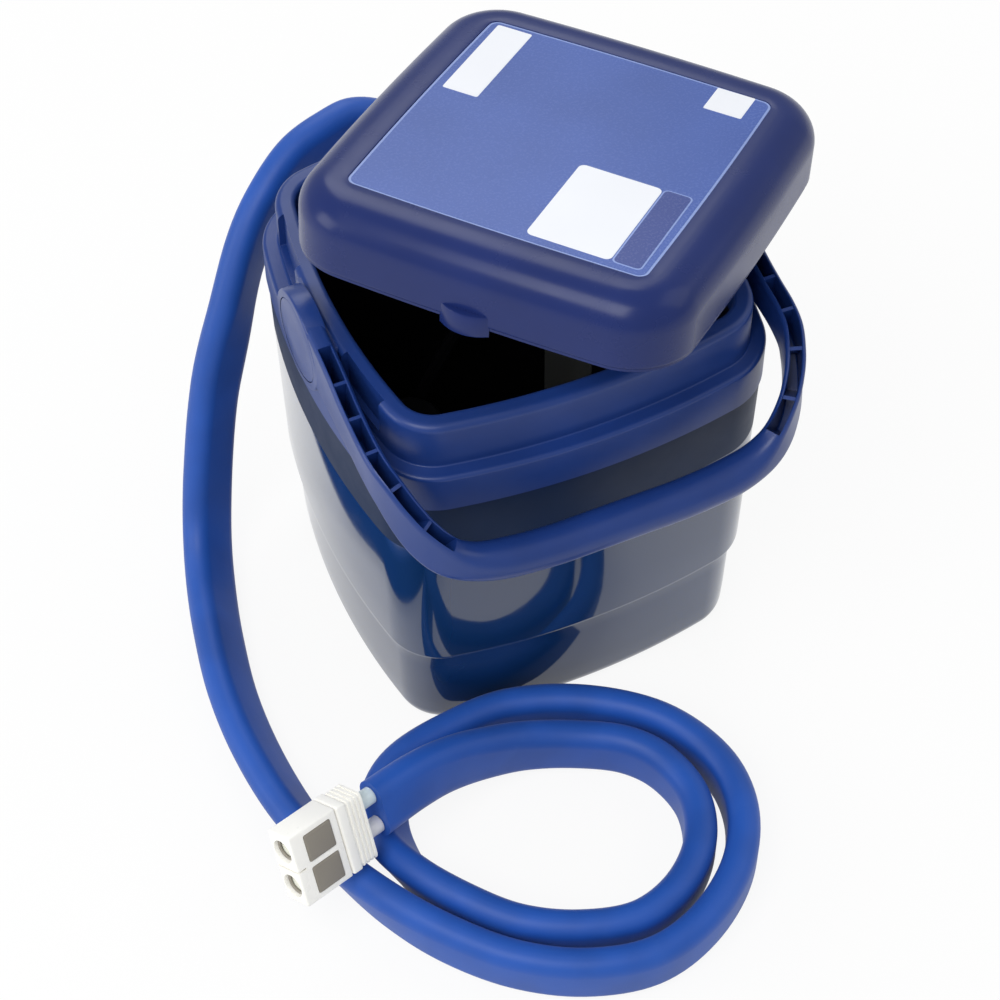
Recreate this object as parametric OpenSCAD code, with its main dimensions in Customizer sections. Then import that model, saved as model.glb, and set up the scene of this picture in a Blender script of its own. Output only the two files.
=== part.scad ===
// Hot and cold therapy machine for the home: an insulated water bucket with its lid lying
// askew on the rim, a folding bail handle, a pump in the tank, and a twin-tube hose in a
// foam sleeve that ends in a quick connector with two release buttons.
// Millimetres. Origin at the middle of the bucket's footprint, on the floor. Front is -Y.

/* [Bucket] */
// Width of the rim, left to right
rim_w = 230; // [216:1:240]
// Depth of the rim, front to back
rim_d = 222; // [210:1:232]
// Height of the rim above the floor
rim_h = 280; // [270:1:295]
// Corner radius of the rim
rim_corner_r = 30; // [26:0.5:34]
// How far each side bows out at its middle
side_bow = 7.3; // [5:0.1:9]
// Thickness of the outer shell
shell_wall = 3; // [2.4:0.1:3.4]
// Height of the step where the shell draws in to its base
step_z = 76; // [60:1:95]
// How far the base stands out past the rim's line
base_out = 0.8; // [-1:0.1:2]
// How far the wall above the step stands out past the rim's line
step_out = 5.2; // [4:0.1:6.4]
// How far the top of the wall stands out past the rim's line
band_out = 8; // [7.2:0.1:8.6]
// Diameter of a foot pad
foot_d = 20; // [14:1:26]
// How far a foot pad stands in from the rim's line
foot_inset = 38; // [32:1:48]

/* [Tank] */
// Thickness of the tank's wall
liner_wall = 2.5; // [2:0.1:3]
// Height of the tank's floor above the ground
tank_floor_z = 22; // [18:1:30]
// How far the tank narrows from its rim to its floor
liner_taper = 8.6; // [6:0.1:12]

/* [Collar] */
// Height of the collar's upper band
upper_band_h = 31; // [29:0.5:33]
// Height of the collar's skirt, below the handle ledge
skirt_h = 27; // [25:0.5:30]
// How far the skirt stands out past the rim's line
skirt_out = 9; // [8.8:0.1:9.6]
// Wall of the collar
collar_wall = 3.2; // [2.6:0.1:3.4]
// Width of the top of the rim
rim_land = 11.5; // [10.8:0.1:12]
// Depth of the latch notches in the rim
notch_depth = 3.6; // [2.5:0.1:3.8]
// Where a latch notch starts, from the middle of its side
notch_near = 34; // [33:0.5:38]
// Where a latch notch ends, from the middle of its side
notch_far = 73; // [65:0.5:75]

/* [Handle] */
// Thickness of a handle arm
arm_t = 11.6; // [10:0.2:12.6]
// Wall of the handle's open channel
arm_wall = 2.3; // [1.8:0.1:2.6]
// Diameter of the handle's grip
grip_d = 22; // [18:0.5:25]
// Radius of the handle's round pivot plate
hub_r = 29; // [26:0.5:29.5]
// Height of the pivot above the ledge
pivot_rise = 13.5; // [12.5:0.5:15]
// How far the pivot stands forward of the middle
pivot_fwd = 1; // [0:0.5:4]
// Diameter of a pivot pin
pin_d = 12; // [8:0.5:14]
// Diameter of the round cap over a pivot
cap_d = 48; // [40:0.5:50]

/* [Lid] */
// Width of the lid
lid_w = 233.8; // [230:0.2:236]
// Depth of the lid, front to rear
lid_d = 226.8; // [222:0.2:229]
// Radius of the lid's corners in plan
lid_corner_r = 38; // [34:0.5:42]
// How far the lid's sides bow out
lid_bow = 1.4; // [1:0.1:3]
// Thickness of the lid's shell, top to bottom
lid_h = 39.5; // [36:0.5:41]
// Radius of the lid's top edge
lid_edge_r = 19; // [16:0.5:21]
// Wall of the lid's shell
lid_wall = 3; // [2.4:0.1:3.4]
// Inset of the label recess from the lid's outline
label_inset = 27.5; // [24:0.5:29]
// Depth of the label recess
label_depth = 0.8; // [0.4:0.1:1.4]
// Depth of the plug below the lid's base plate
plug_h = 4.5; // [3:0.5:5]
// Inset of the plug from the lid's outline
plug_inset = 20; // [19:0.5:24]
// Width of a latch tab
tab_w = 28; // [24:1:34]
// Tilt of the lid as it lies
lid_tilt = 10.5; // [10:0.1:10.8]

/* [Pump] */
// Distance of the pump from the middle, to the left
pump_left = 45; // [40:1:50]
// Distance of the pump from the middle, to the rear
pump_back = 50; // [45:1:54]
// Radius of the pump's casing
casing_r = 26; // [24:0.5:28]
// Radius of the impeller
impeller_r = 20; // [16:0.5:21]
// Number of impeller vanes
vanes = 6; // [4:1:8]
// Diameter of the pump's shaft
shaft_d = 4; // [3:0.1:5]
// Radius of the motor
motor_r = 19; // [16:0.5:20]
// Height of the motor
motor_h = 38; // [30:1:50]

/* [Hose] */
// Thickness of the foam sleeve
sleeve_w = 19; // [17:0.5:19]
// Height of the foam sleeve, which stands on its narrow edge
sleeve_h = 36; // [33:0.5:36]
// Diameter of each water tube
tube_d = 10.4; // [9:0.1:11]
// Distance between the two water tubes
tube_pitch = 19.4; // [18:0.1:20]
// How far the middle of the hose outlet lies below the collar's skirt
outlet_drop = 32; // [30:1:50]
// Length of bare tube between the sleeve and the connector
bare_tube = 12; // [8:0.5:16]

/* [Connector] */
// Length of the connector
conn_l = 53; // [48:0.5:56]
// Thickness of the connector
conn_t = 19; // [17:0.5:21]
// Height of the connector
conn_h = 46; // [42:0.5:48]
// Diameter of a coupling bore
coupling_d = 14; // [11:0.5:15]
// Width of a release button
button_w = 19; // [14:0.5:20]
// Travel of a release button
button_travel = 2; // [1:0.1:2.4]

/* [Hidden] */

$fn = 48;
seat = 0.3;      // gap left between pieces that rest on each other
run_fit = 0.05;  // radial play of a turning or sliding fit
eps = 0.01;

navy = "#1f3f7a";
dark_navy = "#172a55";
lid_navy = "#333a72";
hose_blue = "#3566b8";
ivory = "#ece9df";
grey = "#8d8a80";
foam_white = "#e6e6e2";
rubber = "#26282b";

side_steps = 5;
corner_steps = 6;

// ---------------------------------------------------------------- outline of the bucket
corner_x = rim_w / 2 - rim_corner_r - side_bow;
corner_y = rim_d / 2 - rim_corner_r - side_bow;

function bow_angle(f, chord) = 2 * atan(f[2] / chord);

// A form is [reach along X, reach along Y, bow of the sides, corner radius]
function side_points(f, reach, chord, out) =
    let (a = bow_angle(f, chord), big = chord / sin(a), r = f[3] + out)
    [for (i = [0:side_steps])
        let (t = -a + 2 * a * i / side_steps)
        [reach + f[2] - big + (big + r) * cos(t), (big + r) * sin(t)]];

function corner_points(f, reach, chord, out) =
    let (a = bow_angle(f, chord), b = 90 - bow_angle(f, reach), r = f[3] + out)
    [for (i = [1:corner_steps - 1])
        let (t = a + (b - a) * i / corner_steps)
        [reach + r * cos(t), chord + r * sin(t)]];

function quarter_turns(p, k) = k == 0 ? p : quarter_turns([-p[1], p[0]], k - 1);

rim_form = [corner_x, corner_y, side_bow, rim_corner_r];
lid_form = [lid_w / 2 - lid_corner_r - lid_bow, lid_d / 2 - lid_corner_r - lid_bow, lid_bow,
    lid_corner_r];

// The outline in plan of the bucket or the lid, drawn `out` outside its outer wall
function outline(out, f = rim_form) = [for (k = [0:3]) each
    let (reach = k % 2 == 0 ? f[0] : f[1], chord = k % 2 == 0 ? f[1] : f[0])
    [for (p = concat(side_points(f, reach, chord, out), corner_points(f, reach, chord, out)))
        quarter_turns(p, k)]];

function ring(level, f) = [for (p = outline(level[0], f)) [p[0], p[1], level[1]]];

// Joins rings of points into one solid, each ring turning about the direction of travel
module skin(rings, looped = false) {
    n = len(rings[0]);
    m = len(rings);
    bands = looped ? m : m - 1;
    walls = [for (j = [0:bands - 1], i = [0:n - 1])
        let (a = j * n + i, b = ((j + 1) % m) * n + i,
             c = ((j + 1) % m) * n + (i + 1) % n, d = j * n + (i + 1) % n)
        each [[a, b, c], [a, c, d]]];
    caps = looped ? [] : [[for (i = [0:n - 1]) i], [for (i = [n - 1:-1:0]) (m - 1) * n + i]];
    polyhedron(points = [for (r = rings) each r], faces = concat(walls, caps), convexity = 8);
}

// Levels are [distance outside the rim's line, height] pairs
module shell_of_levels(levels, looped = false, form = rim_form) {
    skin([for (level = levels) ring(level, form)], looped);
}

module band(out_in, out_out, z0, z1, form = rim_form) {
    translate([0, 0, z0])
        linear_extrude(z1 - z0)
            difference() {
                polygon(outline(out_out, form));
                polygon(outline(out_in, form));
            }
}

module slab_of(out, z0, z1, form = rim_form) {
    translate([0, 0, z0])
        linear_extrude(z1 - z0)
            polygon(outline(out, form));
}

// ---------------------------------------------------------------- heights and offsets
ledge_z = rim_h - upper_band_h;
skirt_z = ledge_z - skirt_h;
ledge_t = 3;
shell_top_z = ledge_z - ledge_t - seat;
shell_base_z = 0;
shell_floor = 3;
seat_out = skirt_out - collar_wall - seat;
foot_recess = 1.8;

lip_out = -rim_land;
lip_t = 2.8;
lip_drop = 18;
liner_top_z = rim_h - 3.7;
// The tank tapers, so it stands further out at its top to clear the lip's lower edge
lip_slack = liner_taper * lip_drop / (liner_top_z - tank_floor_z);
liner_rim_out = lip_out + lip_t + seat + liner_wall + lip_slack;
liner_base_out = liner_rim_out - liner_taper;

// Distance of the tank's outer face outside the rim's line, at height z
function liner_out_at(z) = liner_base_out
    + liner_taper * (z - tank_floor_z - 6) / (liner_top_z - tank_floor_z - 6);
// Distance of the shell's outer face outside the rim's line, at height z above the step
function wall_out_at(z) = step_out + (band_out - step_out) * (z - step_z) / (skirt_z - step_z);

// ---------------------------------------------------------------- handle places
arm_in_x = rim_w / 2 + 0.4;
arm_mid_x = arm_in_x + arm_t / 2;
arm_out_x = arm_in_x + arm_t;
pivot_y = -pivot_fwd;
pivot_z = ledge_z + pivot_rise;
pocket_r = hub_r + 0.6;
pocket_wall = 2.2;
boss_in_x = rim_w / 2 - 4.6;
cap_t = 1.7;
pin_head_d = pin_d + 8;
pin_head_t = 2.2;
pin_head_x = arm_out_x - cap_t - 2 * seat - pin_head_t;

// A cylinder along X on one side's pivot, from x0 to x1 out from the middle
module on_pivot(side, r, x0, x1) {
    translate([side * x0, pivot_y, pivot_z])
        rotate([0, side * 90, 0])
            cylinder(r = r, h = x1 - x0, $fn = 64);
}

// ---------------------------------------------------------------- hose outlet places
outlet_x = 24;
outlet_z = skirt_z - outlet_drop;
outlet_wall_y = rim_d / 2 + wall_out_at(outlet_z);
flange_t = 3.2;
flange_y = outlet_wall_y + 0.4;
sleeve_start_y = flange_y + 9.2;
barrel_clear = 1.2;
nut_t = 3;
// The tank's rear wall bows away from the outlet, so the nut stands in from its middle
nut_bow = 3.2;
gland_in_y = rim_d / 2 + liner_out_at(outlet_z) - liner_wall - nut_bow - nut_t;

// A slot-shaped bar along +Y on the hose outlet
module outlet_bar(w, h, y0, y1) {
    translate([outlet_x, y1, outlet_z])
        rotate([90, 0, 0])
            linear_extrude(y1 - y0)
                for (s = [-1, 1])
                    slot_half(w, h, s);
}

module slot_half(w, h, s) {
    translate([0, s * (h - w) / 2])
        circle(d = w);
    translate([-w / 2, s > 0 ? 0 : -(h - w) / 2])
        square([w, (h - w) / 2]);
}

module outlet_bores(d, y0, y1) {
    for (s = [-1, 1])
        translate([outlet_x, y1, outlet_z + s * tube_pitch / 2])
            rotate([90, 0, 0])
                cylinder(d = d, h = y1 - y0);
}

// ---------------------------------------------------------------- power inlet places
inlet_x = -42;
inlet_z = 130;
inlet_wall_y = rim_d / 2 + wall_out_at(inlet_z) - side_bow * pow(inlet_x / corner_x, 2);
inlet_d = 13;

module at_inlet(y) {
    translate([inlet_x, y, inlet_z])
        rotate([90, 0, 0])
            children();
}

// ---------------------------------------------------------------- pump places
pump_x = -pump_left;
pump_y = pump_back;
base_z = tank_floor_z + seat;
base_t = 2.5;
post_h = 10;
casing_z = base_z + base_t + post_h + seat;
casing_h = 15;
casing_wall = 3;
cover_z = casing_z + casing_h + seat;
cover_t = 3;
motor_z = cover_z + cover_t + seat;
ear_r = casing_r + 2.5;
ear_d = 9;
screw_d = 3;
nozzle_d = 13;
nozzle_x = pump_x + casing_r / 3;
nozzle_z = casing_z + casing_h / 2;
nozzle_end_y = pump_y + casing_r + 2;

module at_pump(z) {
    translate([pump_x, pump_y, z])
        children();
}

module at_ears(z) {
    for (a = [45:90:315])
        at_pump(z)
            rotate([0, 0, a])
                translate([ear_r, 0, 0])
                    children();
}

// A disc of the pump with its four screw ears
module eared_disc(r, h) {
    linear_extrude(h) {
        circle(r = r, $fn = 64);
        for (a = [45:90:315])
            rotate(a)
                translate([ear_r, 0])
                    circle(d = ear_d);
    }
}

// ---------------------------------------------------------------- curves
function along(p0, p1, p2, p3, t) = 0.5 * (2 * p1 + (p2 - p0) * t
    + (2 * p0 - 5 * p1 + 4 * p2 - p3) * t * t + (3 * p1 - p0 - 3 * p2 + p3) * t * t * t);

// The point at position q of a smooth curve through the points of P
function on_curve(P, q) =
    let (last = len(P) - 1, i = min(floor(q), last - 1))
    along(i > 0 ? P[i - 1] : 2 * P[0] - P[1], P[i], P[i + 1],
          i + 2 <= last ? P[i + 2] : 2 * P[last] - P[last - 1], q - i);

function unit(v) = v / norm(v);
function place(v) = [v[0], v[1], v[2]];
function heading(P, q) =
    let (e = 0.02, last = len(P) - 1)
    unit(place(on_curve(P, min(q + e, last))) - place(on_curve(P, max(q - e, 0))));

// Sideways and upward directions square to a heading
function sideways(t) = unit([-t[1], t[0], 0]);
function upward(t) = cross(t, sideways(t));

// ---------------------------------------------------------------- hose route
// [x, y, z of the middle, lean of the sleeve's height from upright, in degrees]
free_route = [
    [outlet_x, sleeve_start_y, outlet_z, 0], [outlet_x, sleeve_start_y + 18, outlet_z, 0],
    [outlet_x - 8, sleeve_start_y + 35, outlet_z + 9, 0], [-3, 173, outlet_z + 23, 0],
    [-24, 174, outlet_z + 36, 0], [-42, 170, outlet_z + 38, 0],
    [-67, 163, outlet_z + 33, 0], [-91, 151, outlet_z + 18, 0],
    [-111, 139, 184, 0], [-130, 123, 150, -8], [-148, 109, 108, -16], [-162, 92, 66, -26],
    [-174, 70, 32, -34], [-184, 40, 17.5, -38], [-193, 2, 16.6, -38], [-200, -42, 16.6, -38],
    [-201, -88, 16.6, -38], [-196, -134, 16.9, -34], [-185, -174, 17.8, -22]];
loop_route = [
    [-169, -211, 18.4, -8], [-148, -244, 18.5, 0], [-120, -274, 18.5, 0], [-86, -295, 18.5, 0],
    [-48, -304, 18.5, 0], [-12, -295, 18.5, 0], [20, -272, 18.5, 0], [39, -240, 18.5, 0],
    [41, -204, 18.5, 0], [23, -166, 18.5, 0], [-13, -137, 18.5, 0], [-56, -121, 18.5, 0],
    [-96, -122, 18.5, 0], [-129, -132, 18.2, -16], [-147, -150, 17, -32], [-153, -174, 17, -34],
    [-147, -202, 18.3, -12], [-130, -231, 18.5, 0], [-108, -255, 18.5, 0], [-79, -272, 18.5, 0],
    [-46, -280, 18.5, 0], [-16, -271, 18.5, 0], [7, -250, 18.5, 0], [17, -222, 18.5, 0],
    [12, -194, 18.5, 0], [-3, -173, 18.5, 0]];
end_route = [
    [-28, -158, 18.9, 0], [-57, -149, 23, -2], [-85, -149, 32, -6], [-110, -154, 43, -12],
    [-134, -162, 51.5, -20], [-160, -171.5, 56, -27]];
route = concat(free_route, loop_route, end_route);
free_end = len(free_route) - 1;
loop_end = free_end + len(loop_route);
route_end = len(route) - 1;
free_step = 1;
loop_step = 0.5;

sleeve_sides = 10;

function lean(q) = on_curve(route, q)[3];
function sleeve_side(q) =
    let (t = heading(route, q), a = lean(q))
    sideways(t) * cos(a) - upward(t) * sin(a);
function sleeve_up(q) =
    let (t = heading(route, q), a = lean(q))
    upward(t) * cos(a) + sideways(t) * sin(a);

// The sleeve's oblong section at position q of the route
function sleeve_ring(q) =
    let (c = place(on_curve(route, q)), s = sleeve_side(q), u = sleeve_up(q),
         half = (sleeve_h - sleeve_w) / 2, n = sleeve_sides / 2)
    [for (k = [0:1], i = [0:n - 1])
        let (a = k * 180 + 180 * i / (n - 1), rise = k == 0 ? half : -half)
        c - s * (sleeve_w / 2 * cos(a)) + u * (rise + sleeve_w / 2 * sin(a))];

module sleeve(q0, q1, step) {
    color(hose_blue)
        skin([for (q = [q0:step:q1]) sleeve_ring(q)]);
}

// Least gap between two stretches of the sleeve, measured between the flat cores of sections
function point_to_core(p, c, u, half) = norm(p - c - u * max(-half, min(half, (p - c) * u)));
function section_gap(q, w) =
    let (half = (sleeve_h - sleeve_w) / 2, a = place(on_curve(route, q)), ua = sleeve_up(q),
         b = place(on_curve(route, w)), ub = sleeve_up(w))
    min([for (s = [-half, 0, half]) point_to_core(a + ua * s, b, ub, half)]) - sleeve_w;

// ---------------------------------------------------------------- connector places
hose_tip = place(route[route_end]);
tip_dir = heading(route, route_end);
tip_side = sleeve_side(route_end);
tip_up = sleeve_up(route_end);
coupling_pitch = 23;
button_t = 5;
button_h = 17;
button_pitch = 21;
button_at = 17;
poppet_travel = 3;
tail_l = 19;

// Connector frame: +X runs back along the hose, +Z along its height, -Y to the buttons' face
module at_connector() {
    c = hose_tip + tip_dir * bare_tube;
    x = -tip_dir;
    y = -tip_side;
    z = tip_up;
    multmatrix([[x[0], y[0], z[0], c[0]], [x[1], y[1], z[1], c[1]], [x[2], y[2], z[2], c[2]]])
        children();
}

// ================================================================ bucket
module outer_shell() {
    w = shell_wall;
    color(dark_navy)
        difference() {
            shell_of_levels([
                [base_out - 12, shell_base_z],
                [base_out - 6, shell_base_z + 2.3],
                [base_out - 2.6, shell_base_z + 7],
                [base_out - 1.5, shell_base_z + 13],
                [base_out, step_z - 2],
                [step_out, step_z + 0.5],
                [band_out, skirt_z - seat],
                [seat_out, skirt_z - seat / 3],
                [seat_out, shell_top_z],
                [seat_out - w, shell_top_z],
                [seat_out - w, skirt_z + 1],
                [band_out - w, skirt_z - 4],
                [step_out - w, step_z + 2.5],
                [base_out - w, step_z - 1],
                [base_out - 1.6 - w, shell_base_z + 14],
                [base_out - 7 - w, shell_base_z + shell_floor + 3],
                [base_out - 14 - w, shell_base_z + shell_floor]]);
            for (side = [-1, 1])
                on_pivot(side, pocket_r + pocket_wall + seat, boss_in_x - 1, rim_w);
            outlet_bar(sleeve_w + 3, sleeve_h + 3, rim_d / 2 - 10, rim_d);
            at_inlet(rim_d / 2 + 20)
                cylinder(d = inlet_d + 2 * seat, h = 40);
            at_feet(0)
                cylinder(d = foot_d + 2 * seat, h = shell_base_z + foot_recess);
        }
}

module at_feet(z) {
    for (sx = [-1, 1], sy = [-1, 1])
        translate([sx * (rim_w / 2 - foot_inset), sy * (rim_d / 2 - foot_inset), z])
            children();
}

module foot_pads() {
    pad_t = shell_base_z + foot_recess - seat;
    color(rubber)
        at_feet(0) {
            cylinder(d1 = foot_d - 1, d2 = foot_d, h = 0.5);
            translate([0, 0, 0.5])
                cylinder(d = foot_d, h = pad_t - 0.5);
        }
}

module foam_insulation() {
    g = seat + 0.1;
    o = shell_wall + g;
    top = shell_top_z - 2;
    color(foam_white)
        difference() {
            shell_of_levels([
                [base_out - 18 - o, shell_base_z + shell_floor + g],
                [base_out - 8 - o, shell_base_z + shell_floor + 4],
                [base_out - 2.2 - o, shell_base_z + 16],
                [base_out - 0.6 - o, step_z - 2],
                [step_out - 0.6 - o, step_z + 4],
                [band_out - 0.4 - o, skirt_z - 6],
                [seat_out - o, skirt_z + 1],
                [seat_out - o, top],
                [liner_out_at(top) + g, top],
                [liner_base_out + g, tank_floor_z + 6],
                [liner_base_out - 2, tank_floor_z - liner_wall + 0.5],
                [liner_base_out - 9, tank_floor_z - liner_wall - g]]);
            for (side = [-1, 1])
                on_pivot(side, pocket_r + pocket_wall + 2 * seat, boss_in_x - 1, rim_w);
            outlet_bar(sleeve_w + 3, sleeve_h + 3, rim_d / 2 - 30, rim_d);
            at_inlet(rim_d)
                cylinder(d = 2 * inlet_d, h = rim_d - inlet_wall_y + 16);
        }
}

module tank_liner() {
    w = liner_wall;
    color("#20232c")
        difference() {
            shell_of_levels([
                [liner_base_out - 8, tank_floor_z - w],
                [liner_base_out - 2, tank_floor_z - w + 2],
                [liner_base_out, tank_floor_z + 6],
                [liner_rim_out, liner_top_z],
                [liner_rim_out - w, liner_top_z],
                [liner_base_out - w, tank_floor_z + 7],
                [liner_base_out - w - 2, tank_floor_z + 2],
                [liner_base_out - w - 8, tank_floor_z]]);
            outlet_bar(sleeve_w + 3, sleeve_h + 3, gland_in_y - 10, rim_d / 2);
        }
}

module collar() {
    w = collar_wall;
    inner = lip_out + lip_t;
    color(navy)
        difference() {
            union() {
                shell_of_levels([
                    [skirt_out, skirt_z],
                    [skirt_out, ledge_z - 2],
                    [skirt_out - 1.5, ledge_z],
                    [0, ledge_z],
                    [0, rim_h - 3],
                    [-1.5, rim_h - 0.6],
                    [-4, rim_h],
                    [lip_out + 2.5, rim_h],
                    [lip_out + 0.5, rim_h - 1],
                    [lip_out, rim_h - 3],
                    [lip_out, rim_h - lip_drop],
                    [inner, rim_h - lip_drop],
                    [inner, rim_h - 3.4],
                    [-w, rim_h - 3.4],
                    [-w, ledge_z - ledge_t],
                    [skirt_out - w, ledge_z - ledge_t],
                    [skirt_out - w, skirt_z]], true);
                for (side = [-1, 1])
                    pivot_pocket(side);
                notch_walls();
            }
            for (side = [-1, 1]) {
                on_pivot(side, pocket_r, rim_w / 2, rim_w);
                on_pivot(side, pin_d / 2 + 0.02, boss_in_x - 1, rim_w);
            }
            notches();
        }
}

// The flat pad behind a pivot plate and the rim of the pocket that the plate turns in
module pivot_pocket(side) {
    intersection() {
        on_pivot(side, pocket_r + pocket_wall, boss_in_x, rim_w / 2);
        translate([-rim_w, -rim_d, skirt_z])
            cube([2 * rim_w, 2 * rim_d, rim_h - 1 - skirt_z]);
    }
    intersection() {
        on_pivot(side, pocket_r + pocket_wall, boss_in_x, rim_w);
        slab_of(skirt_out - 0.05, skirt_z + 1, ledge_z - 0.6);
    }
}

notch_floor_z = ledge_z + 7;

module notch_slots(grow, z0, z1) {
    for (sx = [-1, 1], sy = [-1, 1])
        translate([sx * rim_w / 2, sy * (notch_near + notch_far) / 2, (z0 + z1) / 2])
            cube([40, notch_far - notch_near + 2 * grow, z1 - z0], center = true);
}

module notches() {
    intersection() {
        band(-notch_depth, 3, notch_floor_z, rim_h + 5);
        notch_slots(0, notch_floor_z, rim_h + 5);
    }
}

module notch_walls() {
    back = liner_rim_out + seat;
    intersection() {
        band(back, -1, notch_floor_z - 2, rim_h - 2);
        notch_slots(2, notch_floor_z - 2, rim_h - 2);
    }
}

module collar_gasket() {
    z0 = ledge_z - ledge_t + seat;
    color(rubber)
        difference() {
            band(liner_out_at(z0 + 6) + seat, -collar_wall - seat, z0, z0 + 6);
            for (side = [-1, 1])
                on_pivot(side, pocket_r + pocket_wall + seat, boss_in_x - seat, rim_w);
        }
}

// ================================================================ handle
// [x, y, z of the middle, half thickness, half height] from the right pivot to the grip
arm_half = arm_t / 2 - 0.15;
arm_floor = ledge_z + 0.4;
function arm_station(x, y, top) = [x, y, (top + arm_floor) / 2, arm_half, (top - arm_floor) / 2];
grip_half = grip_d / 2;
grip_y = -145;
grip_z = 206;
right_arm = [
    arm_station(arm_mid_x, 2, ledge_z + 39.5), arm_station(arm_mid_x, -14, ledge_z + 38),
    arm_station(arm_mid_x, -30, ledge_z + 35.4), arm_station(arm_mid_x + 0.2, -46, ledge_z + 32.2),
    arm_station(arm_mid_x + 0.5, -62, ledge_z + 27.9),
    arm_station(arm_mid_x + 0.6, -77, ledge_z + 25.2),
    [arm_mid_x + 0.6, -90, ledge_z + 11.2, arm_half, 12.4],
    [arm_mid_x - 0.4, -101.7, ledge_z + 8.4, arm_half, 12.4],
    [arm_mid_x - 3, -111.1, ledge_z + 3, arm_half, 12.4],
    [arm_mid_x - 6.5, -119.2, ledge_z - 5.3, arm_half, 12.3],
    [arm_mid_x - 11.2, -126.2, ledge_z - 15.1, arm_half + 0.1, 12.1],
    [arm_mid_x - 17, -131.7, ledge_z - 24.3, arm_half + 0.45, 11.9],
    [arm_mid_x - 23.6, -135.8, ledge_z - 31.8, arm_half + 1.3, 11.6],
    [arm_mid_x - 31.4, -138.8, ledge_z - 36.6, arm_half + 2.7, 11.2],
    [arm_mid_x - 41.3, -141.1, grip_z + 3.2, arm_half + 4.2, grip_half],
    [arm_mid_x - 53.8, -142.9, grip_z + 1.4, grip_half, grip_half],
    [arm_mid_x - 68.9, -144.2, grip_z + 0.4, grip_half, grip_half],
    [34, grip_y, grip_z, grip_half, grip_half],
    [12, grip_y, grip_z, grip_half, grip_half]];
last_station = len(right_arm) - 1;
left_arm = [for (i = [last_station:-1:0])
    let (s = right_arm[i]) [-s[0], s[1], s[2], s[3], s[4]]];
bail = concat(right_arm, left_arm);
bail_end = len(bail) - 1;
// Positions of the ribs across the open channel of the right arm, counted in stations
ribs = [1.9, 3.25, 4.65, 6.25, 7.85, 9.8, 11.65];
rib_t = 2;

function bail_out(q) = sideways(heading(bail, q));
function bail_up(q) = upward(heading(bail, q));

// A rounded oblong of half sizes a and b, as [outward, upward] pairs
function rounded(a, b) =
    let (r = min(a, b) - 2.6 + 2.2 * min(max((a - arm_half) / 4, 0), 1))
    [for (k = [0:3], i = [0:3])
        let (t = 90 * k + 30 * i, sx = k == 0 || k == 3 ? 1 : -1, sy = k < 2 ? 1 : -1)
        [sx * (a - r) + r * cos(t), sy * (b - r) + r * sin(t)]];

function bail_ring(q) =
    let (s = on_curve(bail, q), o = bail_out(q), u = bail_up(q))
    [for (p = rounded(s[3], s[4])) place(s) + o * p[0] + u * p[1]];

// One pocket of the channel, open at the top, between two ribs
module channel_pocket(q0, q1) {
    steps = max(1, round((q1 - q0) * 2));
    skin([for (i = [0:steps])
        let (q = q0 + (q1 - q0) * i / steps, s = on_curve(bail, q), o = bail_out(q),
             u = bail_up(q), w = s[3] - arm_wall,
             shift = i == 0 ? rib_t / 2 : i == steps ? -rib_t / 2 : 0,
             c = place(s) + heading(bail, q) * shift)
        [for (p = [[-w, -s[4] + arm_wall], [w, -s[4] + arm_wall], [w, s[4] + 6], [-w, s[4] + 6]])
            c + o * p[0] + u * p[1]]]);
}

module handle() {
    color(navy)
        difference() {
            union() {
                skin([for (i = [0:2 * bail_end]) bail_ring(i / 2)]);
                for (side = [-1, 1])
                    on_pivot(side, hub_r, arm_in_x, arm_out_x);
            }
            for (i = [0:len(ribs) - 2]) {
                channel_pocket(ribs[i], ribs[i + 1]);
                channel_pocket(bail_end - ribs[i + 1], bail_end - ribs[i]);
            }
            for (side = [-1, 1]) {
                on_pivot(side, pin_d / 2 + run_fit, arm_in_x - 1, arm_out_x + 1);
                on_pivot(side, pin_head_d / 2 + seat, pin_head_x - seat, arm_out_x + 1);
                on_pivot(side, cap_d / 2 + seat, arm_out_x - cap_t - seat, arm_out_x + 1);
            }
        }
}

module pivot_pins() {
    color("#c9ccd0")
        for (side = [-1, 1]) {
            on_pivot(side, pin_d / 2, boss_in_x, pin_head_x + eps);
            on_pivot(side, pin_head_d / 2, pin_head_x, pin_head_x + pin_head_t);
        }
}

module pivot_caps() {
    color(navy)
        for (side = [-1, 1])
            on_pivot(side, cap_d / 2, arm_out_x - cap_t, arm_out_x);
}

// ================================================================ lid
base_plate_t = 2;
plug_wall = 3;
lid_under_z = -lid_h - seat - base_plate_t;
// The lid lies turned 40 degrees, resting on the rear right of the rim
lid_yaw = 40.2;
lid_lean_to = 50.4;
// Where the lid's lower edge rests, and the lid's own upward direction
lid_rest = [25.51, -7.65, rim_h + 31.16];
lid_up = [cos(lid_lean_to) * sin(lid_tilt), sin(lid_lean_to) * sin(lid_tilt), cos(lid_tilt)];
lid_at = lid_rest + lid_h * lid_up;

module at_lid() {
    translate(lid_at)
        rotate(a = lid_tilt, v = [-sin(lid_lean_to), cos(lid_lean_to), 0])
            rotate([0, 0, lid_yaw])
                children();
}

edge_steps = 5;

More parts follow.
